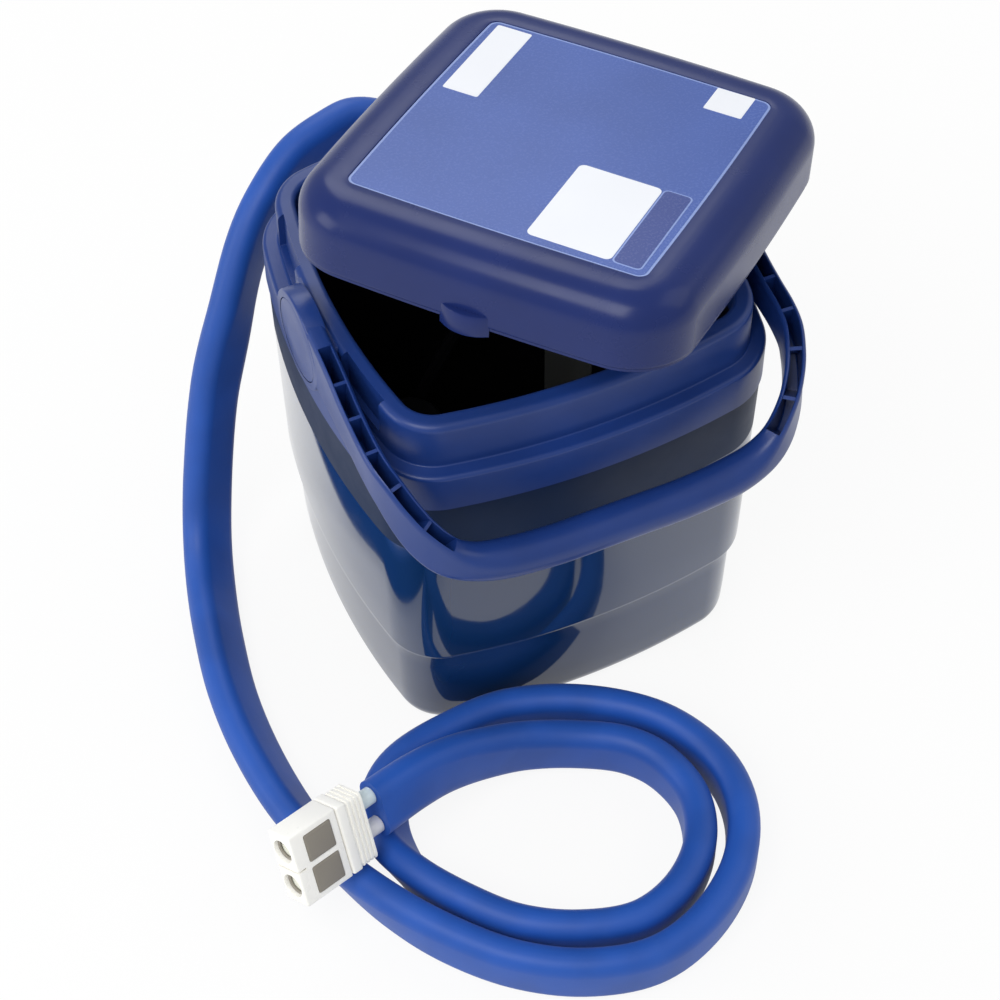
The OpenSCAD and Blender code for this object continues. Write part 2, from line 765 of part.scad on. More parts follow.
module lid_shell() {
    w = lid_wall;
    inner_r = lid_edge_r - w;
    color(lid_navy)
        at_lid()
            union() {
                shell_of_levels(concat(
                    [for (i = [edge_steps:-1:0])
                        let (a = 90 * i / edge_steps)
                        [-w - inner_r + inner_r * cos(a), -w - inner_r + inner_r * sin(a)]],
                    [[-w, -lid_h + 3], [-w - 0.01, -lid_h]],
                    [[-0.5, -lid_h], [0, -lid_h + 0.5]],
                    [for (i = [0:edge_steps])
                        let (a = 90 * i / edge_steps)
                        [-lid_edge_r + lid_edge_r * cos(a), -lid_edge_r + lid_edge_r * sin(a)]],
                    [[-label_inset + 0.4, 0], [-label_inset, -label_depth]]), form = lid_form);
                for (s = [-1, 1])
                    latch_tab(s);
            }
}

// A curved tab that stands out and down from the lid's lower edge
module latch_tab(s) {
    bow = 5;
    t = 3;
    r = tab_w * tab_w / (8 * bow) + bow / 2;
    difference() {
        intersection() {
            translate([s * (lid_w / 2 + bow - 0.6 - r), 0, -lid_h - 6])
                difference() {
                    cylinder(r = r, h = 13, $fn = 96);
                    translate([0, 0, -1])
                        cylinder(r = r - t, h = 11.5, $fn = 96);
                }
            translate([s * (lid_w / 2 + 8), 0, -lid_h])
                cube([20, tab_w, 40], center = true);
        }
        slab_of(-0.4, -lid_h - 20, -lid_h, lid_form);
    }
}

module lid_foam() {
    g = seat + 0.2;
    o = -lid_wall - g;
    top = -lid_wall - g;
    color(foam_white)
        at_lid()
            shell_of_levels([
                [o, -lid_h + g],
                [o, -lid_edge_r],
                [o - 5.8, -lid_edge_r + 12],
                [o - lid_edge_r + 4, top - 0.6],
                [o - lid_edge_r, top]], form = lid_form);
}

module lid_base() {
    color(foam_white)
        at_lid()
            shell_of_levels([
                [-1.2, lid_under_z],
                [-0.8, lid_under_z + 0.4],
                [-0.8, -lid_h - seat]], form = lid_form);
}

// The ring that centres the lid in the bucket's mouth, welded under the base plate
module lid_plug() {
    o = -plug_inset;
    z = lid_under_z - 0.02;
    color(foam_white)
        at_lid()
            shell_of_levels([
                [o - plug_wall, z],
                [o - plug_wall, z - plug_h],
                [o - 0.8, z - plug_h],
                [o, z - plug_h + 0.8],
                [o, z]], looped = true, form = lid_form);
}

module lid_gasket() {
    z = lid_under_z - seat;
    color("#d9dce2")
        at_lid()
            band(-plug_inset + seat, -plug_inset + 3.5, z - 1.6, z, lid_form);
}

// ================================================================ pump
module pump_base() {
    color("#3a3f4a")
        difference() {
            union() {
                at_pump(base_z)
                    eared_disc(casing_r + 1, base_t);
                at_ears(base_z + 1)
                    cylinder(d = ear_d - 2, h = base_t + post_h - 1);
            }
            at_ears(base_z + base_t + 2)
                cylinder(d = screw_d + 0.04, h = post_h);
        }
}

module filter_screen() {
    z = base_z + base_t + seat;
    h = post_h - seat;
    slots = 24;
    color("#c9ccd0")
        at_pump(z)
            difference() {
                cylinder(r = casing_r - 3, h = h);
                translate([0, 0, 1])
                    cylinder(r = casing_r - 4.5, h = h);
                for (i = [0:slots - 1])
                    rotate([0, 0, 360 * i / slots])
                        translate([casing_r - 8, -0.8, 2.5])
                            cube([10, 1.6, h - 5]);
            }
}

module pump_casing() {
    color("#2f3440")
        difference() {
            union() {
                at_pump(casing_z)
                    eared_disc(casing_r, casing_h);
                translate([nozzle_x, nozzle_end_y, nozzle_z])
                    rotate([90, 0, 0])
                        cylinder(d = nozzle_d, h = nozzle_end_y - pump_y);
            }
            at_pump(casing_z + casing_wall)
                cylinder(r = casing_r - casing_wall, h = casing_h);
            at_pump(casing_z - 1)
                cylinder(d = 14, h = casing_h);
            translate([nozzle_x, nozzle_end_y + 1, nozzle_z])
                rotate([90, 0, 0])
                    cylinder(d = nozzle_d - 5, h = nozzle_end_y - pump_y);
            at_ears(casing_z - 1)
                cylinder(d = screw_d + 0.4, h = casing_h + 2);
        }
}

module pump_cover() {
    color("#3a3f4a")
        difference() {
            at_pump(cover_z)
                eared_disc(casing_r, cover_t);
            at_pump(cover_z - 1)
                cylinder(d = shaft_d + 2 * run_fit, h = cover_t + 2);
            at_ears(cover_z - 1)
                cylinder(d = screw_d + 0.4, h = cover_t + 2);
        }
}

impeller_z = casing_z + casing_wall + 0.8;
impeller_h = casing_h - casing_wall - 1.6;

module impeller() {
    disc_t = 1.6;
    color("#d8d3c4")
        at_pump(impeller_z)
            difference() {
                union() {
                    translate([0, 0, impeller_h - disc_t])
                        cylinder(r = impeller_r, h = disc_t);
                    cylinder(d = shaft_d + 5, h = impeller_h);
                    for (i = [0:vanes - 1])
                        rotate([0, 0, 360 * i / vanes])
                            impeller_vane(impeller_h - disc_t + eps);
                }
                translate([0, 0, 2])
                    cylinder(d = shaft_d, h = impeller_h);
            }
}

// A vane that sweeps back as it goes out, as a slice of a ring
module impeller_vane(h) {
    r = impeller_r * 0.62;
    intersection() {
        translate([r, 0, 0])
            difference() {
                cylinder(r = r, h = h);
                translate([0, 0, -1])
                    cylinder(r = r - 1.4, h = h + 2);
            }
        cube([impeller_r, impeller_r * 0.62, h]);
        cylinder(r = impeller_r - 0.4, h = h);
    }
}

module impeller_shaft() {
    color("#c9ccd0")
        at_pump(impeller_z + 2)
            cylinder(d = shaft_d, h = motor_z + 12 - impeller_z - 2);
}

module pump_motor() {
    color("#6d7178")
        at_pump(motor_z)
            difference() {
                cylinder(r = motor_r, h = motor_h);
                translate([0, 0, -1])
                    cylinder(d = shaft_d + 2 * run_fit, h = 14);
            }
}

module motor_can() {
    wall = 2;
    color("#2f3440")
        at_pump(motor_z)
            difference() {
                union() {
                    cylinder(r = motor_r + seat + wall, h = motor_h + seat + wall - 2);
                    translate([0, 0, motor_h + seat + wall - 2])
                        cylinder(r1 = motor_r + seat + wall, r2 = motor_r + seat + wall - 2, h = 2);
                }
                translate([0, 0, -1])
                    cylinder(r = motor_r + seat, h = motor_h + 1 + seat);
            }
}

module pump_screws() {
    z = base_z + base_t + 2.5;
    top = cover_z + cover_t + 0.1;
    color("#c9ccd0") {
        at_ears(z)
            cylinder(d = screw_d, h = top - z + eps);
        at_ears(top)
            cylinder(d = 5.6, h = 2);
    }
}

// A plain round tube swept along points
tube_sides = 8;
module swept_tube(P, d, step) {
    skin([for (q = [0:step:len(P) - 1])
        let (c = on_curve(P, q), t = heading(P, q), s = tube_side(t), u = cross(t, s))
        [for (i = [0:tube_sides - 1])
            let (a = 360 * i / tube_sides)
            c + s * (d / 2 * cos(a)) + u * (d / 2 * sin(a))]]);
}

// A direction square to t that keeps near X all along a tube in the rear of the tank
function tube_side(t) = unit([1, 0, 0] - t * t[0]);

feed_start_y = nozzle_end_y + 0.1;
upper_tube_z = outlet_z + tube_pitch / 2;
lower_tube_z = outlet_z - tube_pitch / 2;
inner_tube_y = gland_in_y - 3;

module feed_tube() {
    color("#dfe6ee")
        swept_tube([
            [nozzle_x, feed_start_y, nozzle_z],
            [nozzle_x, feed_start_y + 3, nozzle_z],
            [nozzle_x + 3, feed_start_y + 6, nozzle_z + 5],
            [nozzle_x + 8, feed_start_y + 7, nozzle_z + 16],
            [nozzle_x + 18, feed_start_y + 7, nozzle_z + 40],
            [outlet_x - 16, feed_start_y + 7, outlet_z - 60],
            [outlet_x - 3, 82, lower_tube_z - 28],
            [outlet_x, 80, lower_tube_z - 12],
            [outlet_x, 82, lower_tube_z - 3],
            [outlet_x, inner_tube_y - 4, lower_tube_z],
            [outlet_x, inner_tube_y - 0.1, lower_tube_z]], tube_d - 1.4, 0.5);
}

module return_tube() {
    color("#dfe6ee")
        swept_tube([
            [outlet_x, inner_tube_y - 0.1, upper_tube_z],
            [outlet_x, inner_tube_y - 5, upper_tube_z],
            [outlet_x + 4, 80, upper_tube_z - 3],
            [outlet_x + 11, 77, upper_tube_z - 12],
            [outlet_x + 15, 78, upper_tube_z - 30],
            [outlet_x + 16, 80, upper_tube_z - 60]], tube_d - 1.4, 0.5);
}

// ================================================================ hose outlet
module hose_gland() {
    color(dark_navy)
        difference() {
            union() {
                outlet_bar(sleeve_w + 14, sleeve_h + 12, flange_y, flange_y + flange_t);
                outlet_bar(sleeve_w + 3 - 2 * seat, sleeve_h + 3 - 2 * seat, gland_in_y, flange_y + 1);
                outlet_bar(sleeve_w + 3, sleeve_h + 3, flange_y + 1, sleeve_start_y - seat);
            }
            outlet_bores(tube_d + 2 * seat, gland_in_y - 1, sleeve_start_y + 1);
        }
}

module gland_gasket() {
    color(rubber)
        difference() {
            outlet_bar(sleeve_w + 12, sleeve_h + 10, rim_d / 2, flange_y - 0.1);
            slab_of(wall_out_at(outlet_z + sleeve_h / 2) + 0.1, outlet_z - 40, outlet_z + 40);
            outlet_bar(sleeve_w + 3, sleeve_h + 3, rim_d / 2 - 5, flange_y + 1);
        }
}

module gland_nut() {
    nut_y = gland_in_y + 0.1;
    color(dark_navy)
        difference() {
            outlet_bar(sleeve_w + 12, sleeve_h + 10, nut_y, nut_y + nut_t);
            outlet_bar(sleeve_w + 3, sleeve_h + 3, nut_y - 1, nut_y + nut_t + 2);
        }
}

module gland_tubes() {
    color("#9fc4e8")
        difference() {
            outlet_bores(tube_d, inner_tube_y, sleeve_start_y - 0.1);
            outlet_bores(tube_d - 3.6, inner_tube_y - 1, sleeve_start_y + 1);
        }
}

module power_inlet() {
    flange = 2.4;
    color(rubber)
        difference() {
            union() {
                at_inlet(inlet_wall_y + flange + 1)
                    cylinder(d = inlet_d + 8, h = flange);
                at_inlet(inlet_wall_y + 1 + eps)
                    cylinder(d = inlet_d, h = 12);
            }
            at_inlet(inlet_wall_y + flange + 2)
                cylinder(d = inlet_d - 6, h = 10);
        }
}

module inlet_nut() {
    color("#c9ccd0")
        at_inlet(inlet_wall_y - shell_wall - 1.6)
            difference() {
                cylinder(d = inlet_d + 8, h = 3, $fn = 6);
                translate([0, 0, -1])
                    cylinder(d = inlet_d + 0.1, h = 5);
            }
}

// ================================================================ hose and connector
module hose_free_run() {
    sleeve(0, free_end, free_step);
}

module hose_loops() {
    sleeve(free_end, loop_end, loop_step);
    gaps = [for (q = [free_end:0.5:route_end], w = [q + 2.5:0.5:route_end]) section_gap(q, w)];
    echo(least_gap_of_hose_to_itself = min(gaps));
}

module hose_end_run() {
    sleeve(loop_end, route_end, loop_step);
}

barb_l = 6;

module tube_ends() {
    at_connector()
        for (s = [-1, 1])
            color(s > 0 ? "#9fc4e8" : "#f4f4f2")
                translate([-barb_l, 0, s * tube_pitch / 2])
                    rotate([0, 90, 0])
                        difference() {
                            cylinder(d = tube_d, h = barb_l + bare_tube - 0.1);
                            translate([0, 0, -1])
                                cylinder(d = tube_d - 3.6, h = barb_l + bare_tube - 4);
                        }
}

// A block with small flats on its long edges, from x0 to x1 of the connector
module conn_block(x0, x1, t, h) {
    flat = 1.6;
    translate([x0, 0, 0])
        rotate([90, 0, 90])
            linear_extrude(x1 - x0)
                polygon([
                    [-t / 2 + flat, -h / 2], [t / 2 - flat, -h / 2],
                    [t / 2, -h / 2 + flat], [t / 2, h / 2 - flat],
                    [t / 2 - flat, h / 2], [-t / 2 + flat, h / 2],
                    [-t / 2, h / 2 - flat], [-t / 2, -h / 2 + flat]]);
}

body_back_x = -tail_l - seat;
split_w = 1.2;

module connector_body() {
    color(ivory)
        at_connector()
            difference() {
                conn_block(-conn_l, body_back_x, conn_t, conn_h);
                for (s = [-1, 1]) {
                    translate([-conn_l - 1, 0, s * coupling_pitch / 2])
                        rotate([0, 90, 0])
                            cylinder(d = coupling_d, h = 15);
                    translate([-conn_l + 13, 0, s * coupling_pitch / 2])
                        rotate([0, 90, 0])
                            cylinder(d = 6 + 2 * run_fit, h = 12);
                    button_hole(s, seat);
                }
                translate([-conn_l - 1, -conn_t, -split_w / 2])
                    cube([7, 2 * conn_t, split_w]);
            }
}

button_x = -tail_l - button_at + 2;

module button_hole(s, grow) {
    w = button_w + 2 * grow;
    h = button_h + 2 * grow;
    translate([button_x - w / 2, -conn_t / 2 - 1, s * button_pitch / 2 - h / 2])
        cube([w, button_t - 1 + 1 + grow, h]);
}

module release_button(s) {
    color(grey)
        at_connector()
            translate([button_x, -conn_t / 2 - 0.8, s * button_pitch / 2])
                rotate([-90, 0, 0])
                    linear_extrude(button_t - button_travel)
                        square([button_w, button_h], center = true);
}

module release_button_upper() {
    release_button(1);
}

module release_button_lower() {
    release_button(-1);
}

module valve_poppet(s) {
    color("#d9c9a0")
        at_connector()
            translate([-conn_l + 7, 0, s * coupling_pitch / 2])
                rotate([0, 90, 0]) {
                    cylinder(d = 9, h = 2.5);
                    translate([0, 0, 2.5 - eps])
                        cylinder(d = 6, h = 11);
                }
}

module valve_poppet_upper() {
    valve_poppet(1);
}

module valve_poppet_lower() {
    valve_poppet(-1);
}

module connector_seals() {
    color(rubber)
        at_connector()
            for (s = [-1, 1])
                translate([-conn_l + 3, 0, s * coupling_pitch / 2])
                    rotate([0, 90, 0])
                        rotate_extrude()
                            translate([coupling_d / 2 - 1 - 0.02, 0])
                                circle(r = 0.9, $fn = 16);
}

module connector_tail() {
    color(ivory)
        at_connector()
            difference() {
                union() {
                    conn_block(-tail_l, -tail_l + 7, conn_t + 1.4, conn_h - 1);
                    conn_block(-tail_l + 7 - eps, 0, conn_t - 1, conn_h - 4);
                    for (i = [0:3])
                        conn_block(-10.6 + 2.9 * i, -9.4 + 2.9 * i, conn_t + 1, conn_h - 2);
                }
                for (s = [-1, 1])
                    translate([-barb_l, 0, s * tube_pitch / 2])
                        rotate([0, 90, 0])
                            cylinder(d = tube_d + 0.06, h = barb_l + 1);
            }
}

// ================================================================ what is drawn
outer_shell();
foam_insulation();
tank_liner();
collar();
collar_gasket();
foot_pads();
handle();
pivot_pins();
pivot_caps();
lid_shell();
lid_foam();
lid_base();
lid_plug();
lid_gasket();
pump_base();
filter_screen();
pump_casing();
pump_cover();
impeller();
impeller_shaft();
pump_motor();
motor_can();
pump_screws();
feed_tube();
return_tube();
hose_gland();
gland_gasket();
gland_nut();
gland_tubes();
power_inlet();
inlet_nut();
hose_free_run();
hose_loops();
hose_end_run();
tube_ends();
connector_body();
connector_tail();
release_button_upper();
release_button_lower();
valve_poppet_upper();
valve_poppet_lower();
connector_seals();
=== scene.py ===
"""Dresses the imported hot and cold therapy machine: fine moulded surfaces, materials, hose and light."""

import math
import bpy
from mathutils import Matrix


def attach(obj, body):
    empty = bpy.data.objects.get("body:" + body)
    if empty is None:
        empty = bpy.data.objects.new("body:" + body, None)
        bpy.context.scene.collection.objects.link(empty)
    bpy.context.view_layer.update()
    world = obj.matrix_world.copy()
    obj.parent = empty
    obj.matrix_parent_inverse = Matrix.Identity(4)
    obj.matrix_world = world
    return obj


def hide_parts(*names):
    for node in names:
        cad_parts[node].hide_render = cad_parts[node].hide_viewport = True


bl_info = {
    "name": "Therapy Cooler Dresser",
    "version": (1, 0, 0),
    "blender": (4, 5, 0),
    "location": "View3D > Sidebar > Therapy Cooler",
    "description": "Builds the visible pieces of an insulated therapy bucket around its packed CAD model",
    "category": "Add Mesh",
}

import bmesh
import bpy
import numpy as np
from bpy.props import FloatProperty, FloatVectorProperty, IntProperty, PointerProperty
from mathutils import Matrix, Vector

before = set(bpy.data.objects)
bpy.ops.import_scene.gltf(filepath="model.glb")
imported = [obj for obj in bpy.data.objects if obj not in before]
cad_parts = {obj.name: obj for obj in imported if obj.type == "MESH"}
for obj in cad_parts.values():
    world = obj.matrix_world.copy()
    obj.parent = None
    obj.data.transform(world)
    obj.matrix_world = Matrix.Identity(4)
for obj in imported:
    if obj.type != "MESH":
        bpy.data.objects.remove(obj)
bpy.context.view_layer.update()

MM = 0.001

# ------------------------------------------------------------------ sizes of the CAD model, mm
RIM_W, RIM_D, RIM_H = 230.0, 222.0, 280.0
LID_W, LID_D, LID_H = 233.8, 226.8, 39.5
# Outlines in plan: width, depth, corner radius, bow of the sides
RIM_FORM = (RIM_W, RIM_D, 30.0, 7.3)
LID_FORM = (LID_W, LID_D, 38.0, 1.4)
LABEL_FORM = (179.0, 171.0, 6.0, 1.0)
LEDGE_Z, SKIRT_Z, STEP_Z = 249.0, 222.0, 76.0
BASE_OUT, STEP_OUT, BAND_OUT, SKIRT_OUT = 0.8, 5.2, 8.0, 9.0
SHELL_WALL, COLLAR_WALL = 3.0, 3.2
# Above this height the shell is painted a darker, duller blue: painted shade under the collar and the handle
SHADE_Z = 181.0
LIP_OUT, LIP_T, LIP_DROP = -11.5, 2.8, 18.0
# The tank's inner face 28 mm up, outside the rim's line, and how it widens with height
TANK_BASE_OUT, TANK_TAPER = -16.39, 0.03464
PIVOT_Y, PIVOT_Z = -1.0, 262.5
HUB_R, POCKET_R, POCKET_WALL = 29.0, 29.6, 2.2
ARM_IN_X, ARM_OUT_X, BOSS_IN_X = 115.4, 127.0, 110.4
CAP_R, CAP_T, PIN_R, PIN_HEAD_R = 24.0, 1.7, 6.0, 10.0
NOTCH = (34.0, 73.0, 256.0, 3.6)
LID_EDGE_R, LID_WALL, LABEL_DEPTH, TAB_W = 19.0, 3.0, 0.8, 28.0
PLUG_INSET, PLUG_H, PLUG_WALL, PLATE_T = 20.0, 4.5, 3.0, 2.0
LID_AT, LID_TILT, LID_LEAN_TO, LID_YAW = (30.1, -2.1, 350.0), 10.5, 50.4, 40.2
SLEEVE_W, SLEEVE_H, TUBE_D, TUBE_PITCH, BARE_TUBE, BARB_L = 19.0, 36.0, 10.4, 19.4, 12.0, 6.0
CONN_L, CONN_T, CONN_H, TAIL_L = 53.0, 19.0, 46.0, 19.0
COUPLING_D, COUPLING_PITCH = 14.0, 23.0
BUTTON_W, BUTTON_H, BUTTON_T, BUTTON_PITCH = 19.0, 17.0, 3.0, 21.0
SEAT = 0.3

# [x, y, z of the middle, lean of the sleeve's height from upright, in degrees]
ROUTE = np.array([
    (24, 127.99, 190, 0), (24, 145.99, 190, 0), (16, 162.99, 199, 0), (-3, 173, 213, 0),
    (-24, 174, 226, 0), (-42, 170, 228, 0), (-67, 163, 223, 0), (-91, 151, 208, 0),
    (-111, 139, 184, 0), (-130, 123, 150, -8), (-148, 109, 108, -16), (-162, 92, 66, -26),
    (-174, 70, 32, -34), (-184, 40, 17.5, -38), (-193, 2, 16.6, -38), (-200, -42, 16.6, -38),
    (-201, -88, 16.6, -38), (-196, -134, 16.9, -34), (-185, -174, 17.8, -22),
    (-169, -211, 18.4, -8), (-148, -244, 18.5, 0), (-120, -274, 18.5, 0), (-86, -295, 18.5, 0),
    (-48, -304, 18.5, 0), (-12, -295, 18.5, 0), (20, -272, 18.5, 0), (39, -240, 18.5, 0),
    (41, -204, 18.5, 0), (23, -166, 18.5, 0), (-13, -137, 18.5, 0), (-56, -121, 18.5, 0),
    (-96, -122, 18.5, 0), (-129, -132, 18.2, -16), (-147, -150, 17, -32), (-153, -174, 17, -34),
    (-147, -202, 18.3, -12), (-130, -231, 18.5, 0), (-108, -255, 18.5, 0), (-79, -272, 18.5, 0),
    (-46, -280, 18.5, 0), (-16, -271, 18.5, 0), (7, -250, 18.5, 0), (17, -222, 18.5, 0),
    (12, -194, 18.5, 0), (-3, -173, 18.5, 0),
    (-28, -158, 18.9, 0), (-57, -149, 23, -2), (-85, -149, 32, -6), (-110, -154, 43, -12),
    (-134, -162, 51.5, -20), (-160, -171.5, 56, -27)], float)

# The camera that was fitted to the rim, the ledge and the base
CAM_AZ, CAM_EL, CAM_DIST, CAM_ROLL, CAM_LENS = -23.81, 52.51, 1.6342, -0.17, 95.95
CAM_TARGET = Vector((-0.00647, 0.00079, 0.05459))


# ------------------------------------------------------------------ settings in the sidebar
def colour(label, text, value):
    return FloatVectorProperty(name=label, description=text, subtype="COLOR", size=3, min=0, max=1, default=value)


class BucketLooks(bpy.types.PropertyGroup):
    shell: colour("Shell", "Colour of the glossy outer shell", (0.005, 0.028, 0.095))
    collar: colour("Collar", "Colour of the collar and the handle", (0.011, 0.038, 0.185))
    lid: colour("Lid", "Colour of the lid's shell", (0.010, 0.022, 0.118))
    label: colour("Label", "Colour of the film on the lid", (0.068, 0.118, 0.365))
    side_points: IntProperty(name="Side points", description="Points along each side of the outline", default=20,
                             min=4, max=60)
    corner_points: IntProperty(name="Corner points", description="Points round each corner of the outline",
                               default=16, min=4, max=40)


class HoseLooks(bpy.types.PropertyGroup):
    sleeve: colour("Sleeve", "Colour of the foam sleeve", (0.012, 0.080, 0.39))
    width: FloatProperty(name="Sleeve width", description="Thickness of the foam sleeve", unit="LENGTH",
                         default=SLEEVE_W * MM, min=0.01, max=0.04)
    height: FloatProperty(name="Sleeve height", description="Height of the foam sleeve", unit="LENGTH",
                          default=SLEEVE_H * MM, min=0.02, max=0.06)
    corner: FloatProperty(name="Sleeve rounding", description="Radius of the sleeve's rounded edges", unit="LENGTH",
                          default=9.2 * MM, min=0.001, max=0.02)
    tube: FloatProperty(name="Tube diameter", description="Diameter of each water tube", unit="LENGTH",
                        default=TUBE_D * MM, min=0.004, max=0.02)


class ConnectorLooks(bpy.types.PropertyGroup):
    body: colour("Body", "Colour of the connector's body", (0.98, 0.96, 0.90))
    button: colour("Button", "Colour of the release buttons", (0.25, 0.225, 0.185))
    ridges: IntProperty(name="Ridges", description="Grip ridges round the connector's tail", default=4, min=1, max=8)
    ridge_pitch: FloatProperty(name="Ridge pitch", description="Distance between two ridges", unit="LENGTH",
                               default=2.9 * MM, min=0.001, max=0.01)


# ------------------------------------------------------------------ shader wiring
class Wire:
    """A shader socket that can be used in a Python expression."""

    def __init__(self, tree, socket):
        self.tree, self.socket = tree, socket

    def math(self, operation, *others, clamp=False):
        return self.tree.node("ShaderNodeMath", {"operation": operation, "use_clamp": clamp},
                              {0: self, **dict(enumerate(others, 1))})

    def __add__(self, other):
        return self.math("ADD", other)

    def __sub__(self, other):
        return self.math("SUBTRACT", other)

    def __rsub__(self, other):
        return self.tree.node("ShaderNodeMath", {"operation": "SUBTRACT"}, {0: other, 1: self})

    def __mul__(self, other):
        return self.math("MULTIPLY", other)

    def __truediv__(self, other):
        return self.math("DIVIDE", other)

    __radd__, __rmul__ = __add__, __mul__

    def over(self, low, high):
        """0 below low, 1 above high, smooth between."""
        return self.tree.node(
            "ShaderNodeMapRange", {"interpolation_type": "SMOOTHSTEP"},
            {"Value": self, "From Min": low, "From Max": high})


class Finish:
    """One material and the nodes in it."""

    def __init__(self, name):
        self.material = bpy.data.materials.new(name)
        self.material.use_nodes = True
        self.nodes, self.links = self.material.node_tree.nodes, self.material.node_tree.links
        self.bsdf = self.nodes["Principled BSDF"]

    def fill(self, node, values):
        for key, value in values.items():
            socket = node.inputs[key]
            if isinstance(value, Wire):
                self.links.new(value.socket, socket)
            else:
                socket.default_value = value

    def node(self, kind, settings=None, values=None, out=0):
        node = self.nodes.new(kind)
        for key, value in (settings or {}).items():
            setattr(node, key, value)
        self.fill(node, values or {})
        return Wire(self, node.outputs[out])

    def place(self):
        return self.node("ShaderNodeTexCoord", out=3)

    def noise(self, scale, detail=3.0, rough=0.5, at=None):
        return self.node("ShaderNodeTexNoise", {},
                         {"Vector": at or self.place(), "Scale": scale, "Detail": detail, "Roughness": rough})

    def mix(self, factor, a, b):
        node = self.nodes.new("ShaderNodeMix")
        node.data_type = "RGBA"
        self.fill(node, {0: factor, 6: a, 7: b})
        return Wire(self, node.outputs[2])

    def bump(self, height, strength, distance):
        return self.node("ShaderNodeBump", {}, {"Height": height, "Strength": strength, "Distance": distance})

    def set(self, **values):
        self.fill(self.bsdf, {key.replace("_", " "): value for key, value in values.items()})
        return self


def rgba(c, k=1.0):
    return (min(c[0] * k, 1), min(c[1] * k, 1), min(c[2] * k, 1), 1)


def moulded(name, c, rough, grain=0.012, wave=0.0, spread=0.10, shine=0.5, speck=900.0):
    """Injection-moulded plastic: cloudy colour, fine spark-eroded grain and long soft waves."""
    f = Finish(name)
    cloud = f.noise(14.0, 4.0, 0.55)
    fine = f.noise(speck, 2.0, 0.6)
    long = f.noise(9.0, 1.0, 0.4)
    base = f.mix(cloud.over(0.3, 0.7), rgba(c, 1 - spread), rgba(c, 1 + spread))
    height = fine * grain + long * wave
    smear = f.noise(32.0, 5.0, 0.62)
    f.set(Base_Color=base, Roughness=smear.over(0.25, 0.8) * (rough * 0.28) + rough * 0.86,
          Normal=f.bump(height, 1.0, 0.001), Specular_IOR_Level=shine)
    return f.material


def metal(name, c, rough, stretch=(900.0, 40.0, 40.0)):
    f = Finish(name)
    run = f.node("ShaderNodeMapping", {}, {"Vector": f.place(), "Scale": stretch})
    brush = f.noise(1.0, 4.0, 0.6, at=run)
    base = f.mix(brush, rgba(c, 0.85), rgba(c, 1.1))
    f.set(Base_Color=base, Metallic=1.0, Roughness=brush * 0.15 + rough, Normal=f.bump(brush, 0.15, 0.0005))
    return f.material


def foamed(name, c, cell=380.0, rough=0.85):
    f = Finish(name)
    cells = f.node("ShaderNodeTexVoronoi", {}, {"Vector": f.place(), "Scale": cell})
    base = f.mix(cells.over(0.05, 0.6), rgba(c, 0.88), rgba(c))
    f.set(Base_Color=base, Roughness=rough, Normal=f.bump(cells, 0.35, 0.0006))
    return f.material


def sleeve_foam(c):
    """Closed-cell foam tube: a soft skin with long dents, fine pores and a faint scuffed bloom."""
    f = Finish("hose_foam_skin")
    pores = f.noise(1500.0, 3.0, 0.65)
    dents = f.noise(22.0, 2.0, 0.5)
    bloom = f.noise(46.0, 6.0, 0.68)
    base = f.mix(dents.over(0.3, 0.72), rgba(c, 0.9), rgba(c, 1.1))
    base = f.mix(bloom.over(0.52, 0.86) * 0.06, base, (0.16, 0.30, 0.62, 1))
    f.set(Base_Color=base, Roughness=bloom * 0.12 + 0.43, Normal=f.bump(pores * 0.05 + dents * 0.5, 0.7, 0.0012),
          Sheen_Weight=0.06, Sheen_Roughness=0.45, Specular_IOR_Level=0.4)
    return f.material


def shell_gloss(c):
    """Blow-moulded gloss shell: a slightly wavy wall under a clear skin, with rubbed patches."""
    f = Finish("shell_gloss_plastic")
    wave = f.noise(7.0, 1.0, 0.4)
    ripple = f.noise(60.0, 2.0, 0.4)
    rub = f.noise(26.0, 6.0, 0.7)
    base = f.mix(wave.over(0.3, 0.7), rgba(c, 0.92), rgba(c, 1.12))
    f.set(Base_Color=base, Roughness=rub.over(0.45, 0.85) * 0.10 + 0.06,
          Normal=f.bump(wave * 1.0 + ripple * 0.02, 0.5, 0.002), Coat_Weight=0.5, Coat_Roughness=0.04, IOR=1.5)
    return f.material


def film(name, c, shade=0.18, rough=0.24):
    """Printed label film: a smooth, slightly clouded tone under a thin gloss."""
    f = Finish(name)
    drift = f.noise(9.0, 2.0, 0.5)
    fibre = f.noise(700.0, 2.0, 0.5)
    base = f.mix(drift.over(0.25, 0.75), rgba(c, 1 - shade), rgba(c, 1 + shade))
    f.set(Base_Color=base, Roughness=fibre * 0.06 + rough, Specular_IOR_Level=0.25)
    return f.material


def tubing(name, c):
    f = Finish(name)
    cloud = f.noise(60.0, 3.0, 0.5)
    base = f.mix(cloud, rgba(c, 0.94), rgba(c, 1.06))
    f.set(Base_Color=base, Roughness=cloud * 0.08 + 0.22, Normal=f.bump(cloud, 0.1, 0.0005), Transmission_Weight=0.15,
          Subsurface_Weight=0.25, Subsurface_Radius=(0.004, 0.004, 0.004), Subsurface_Scale=1.0)
    return f.material


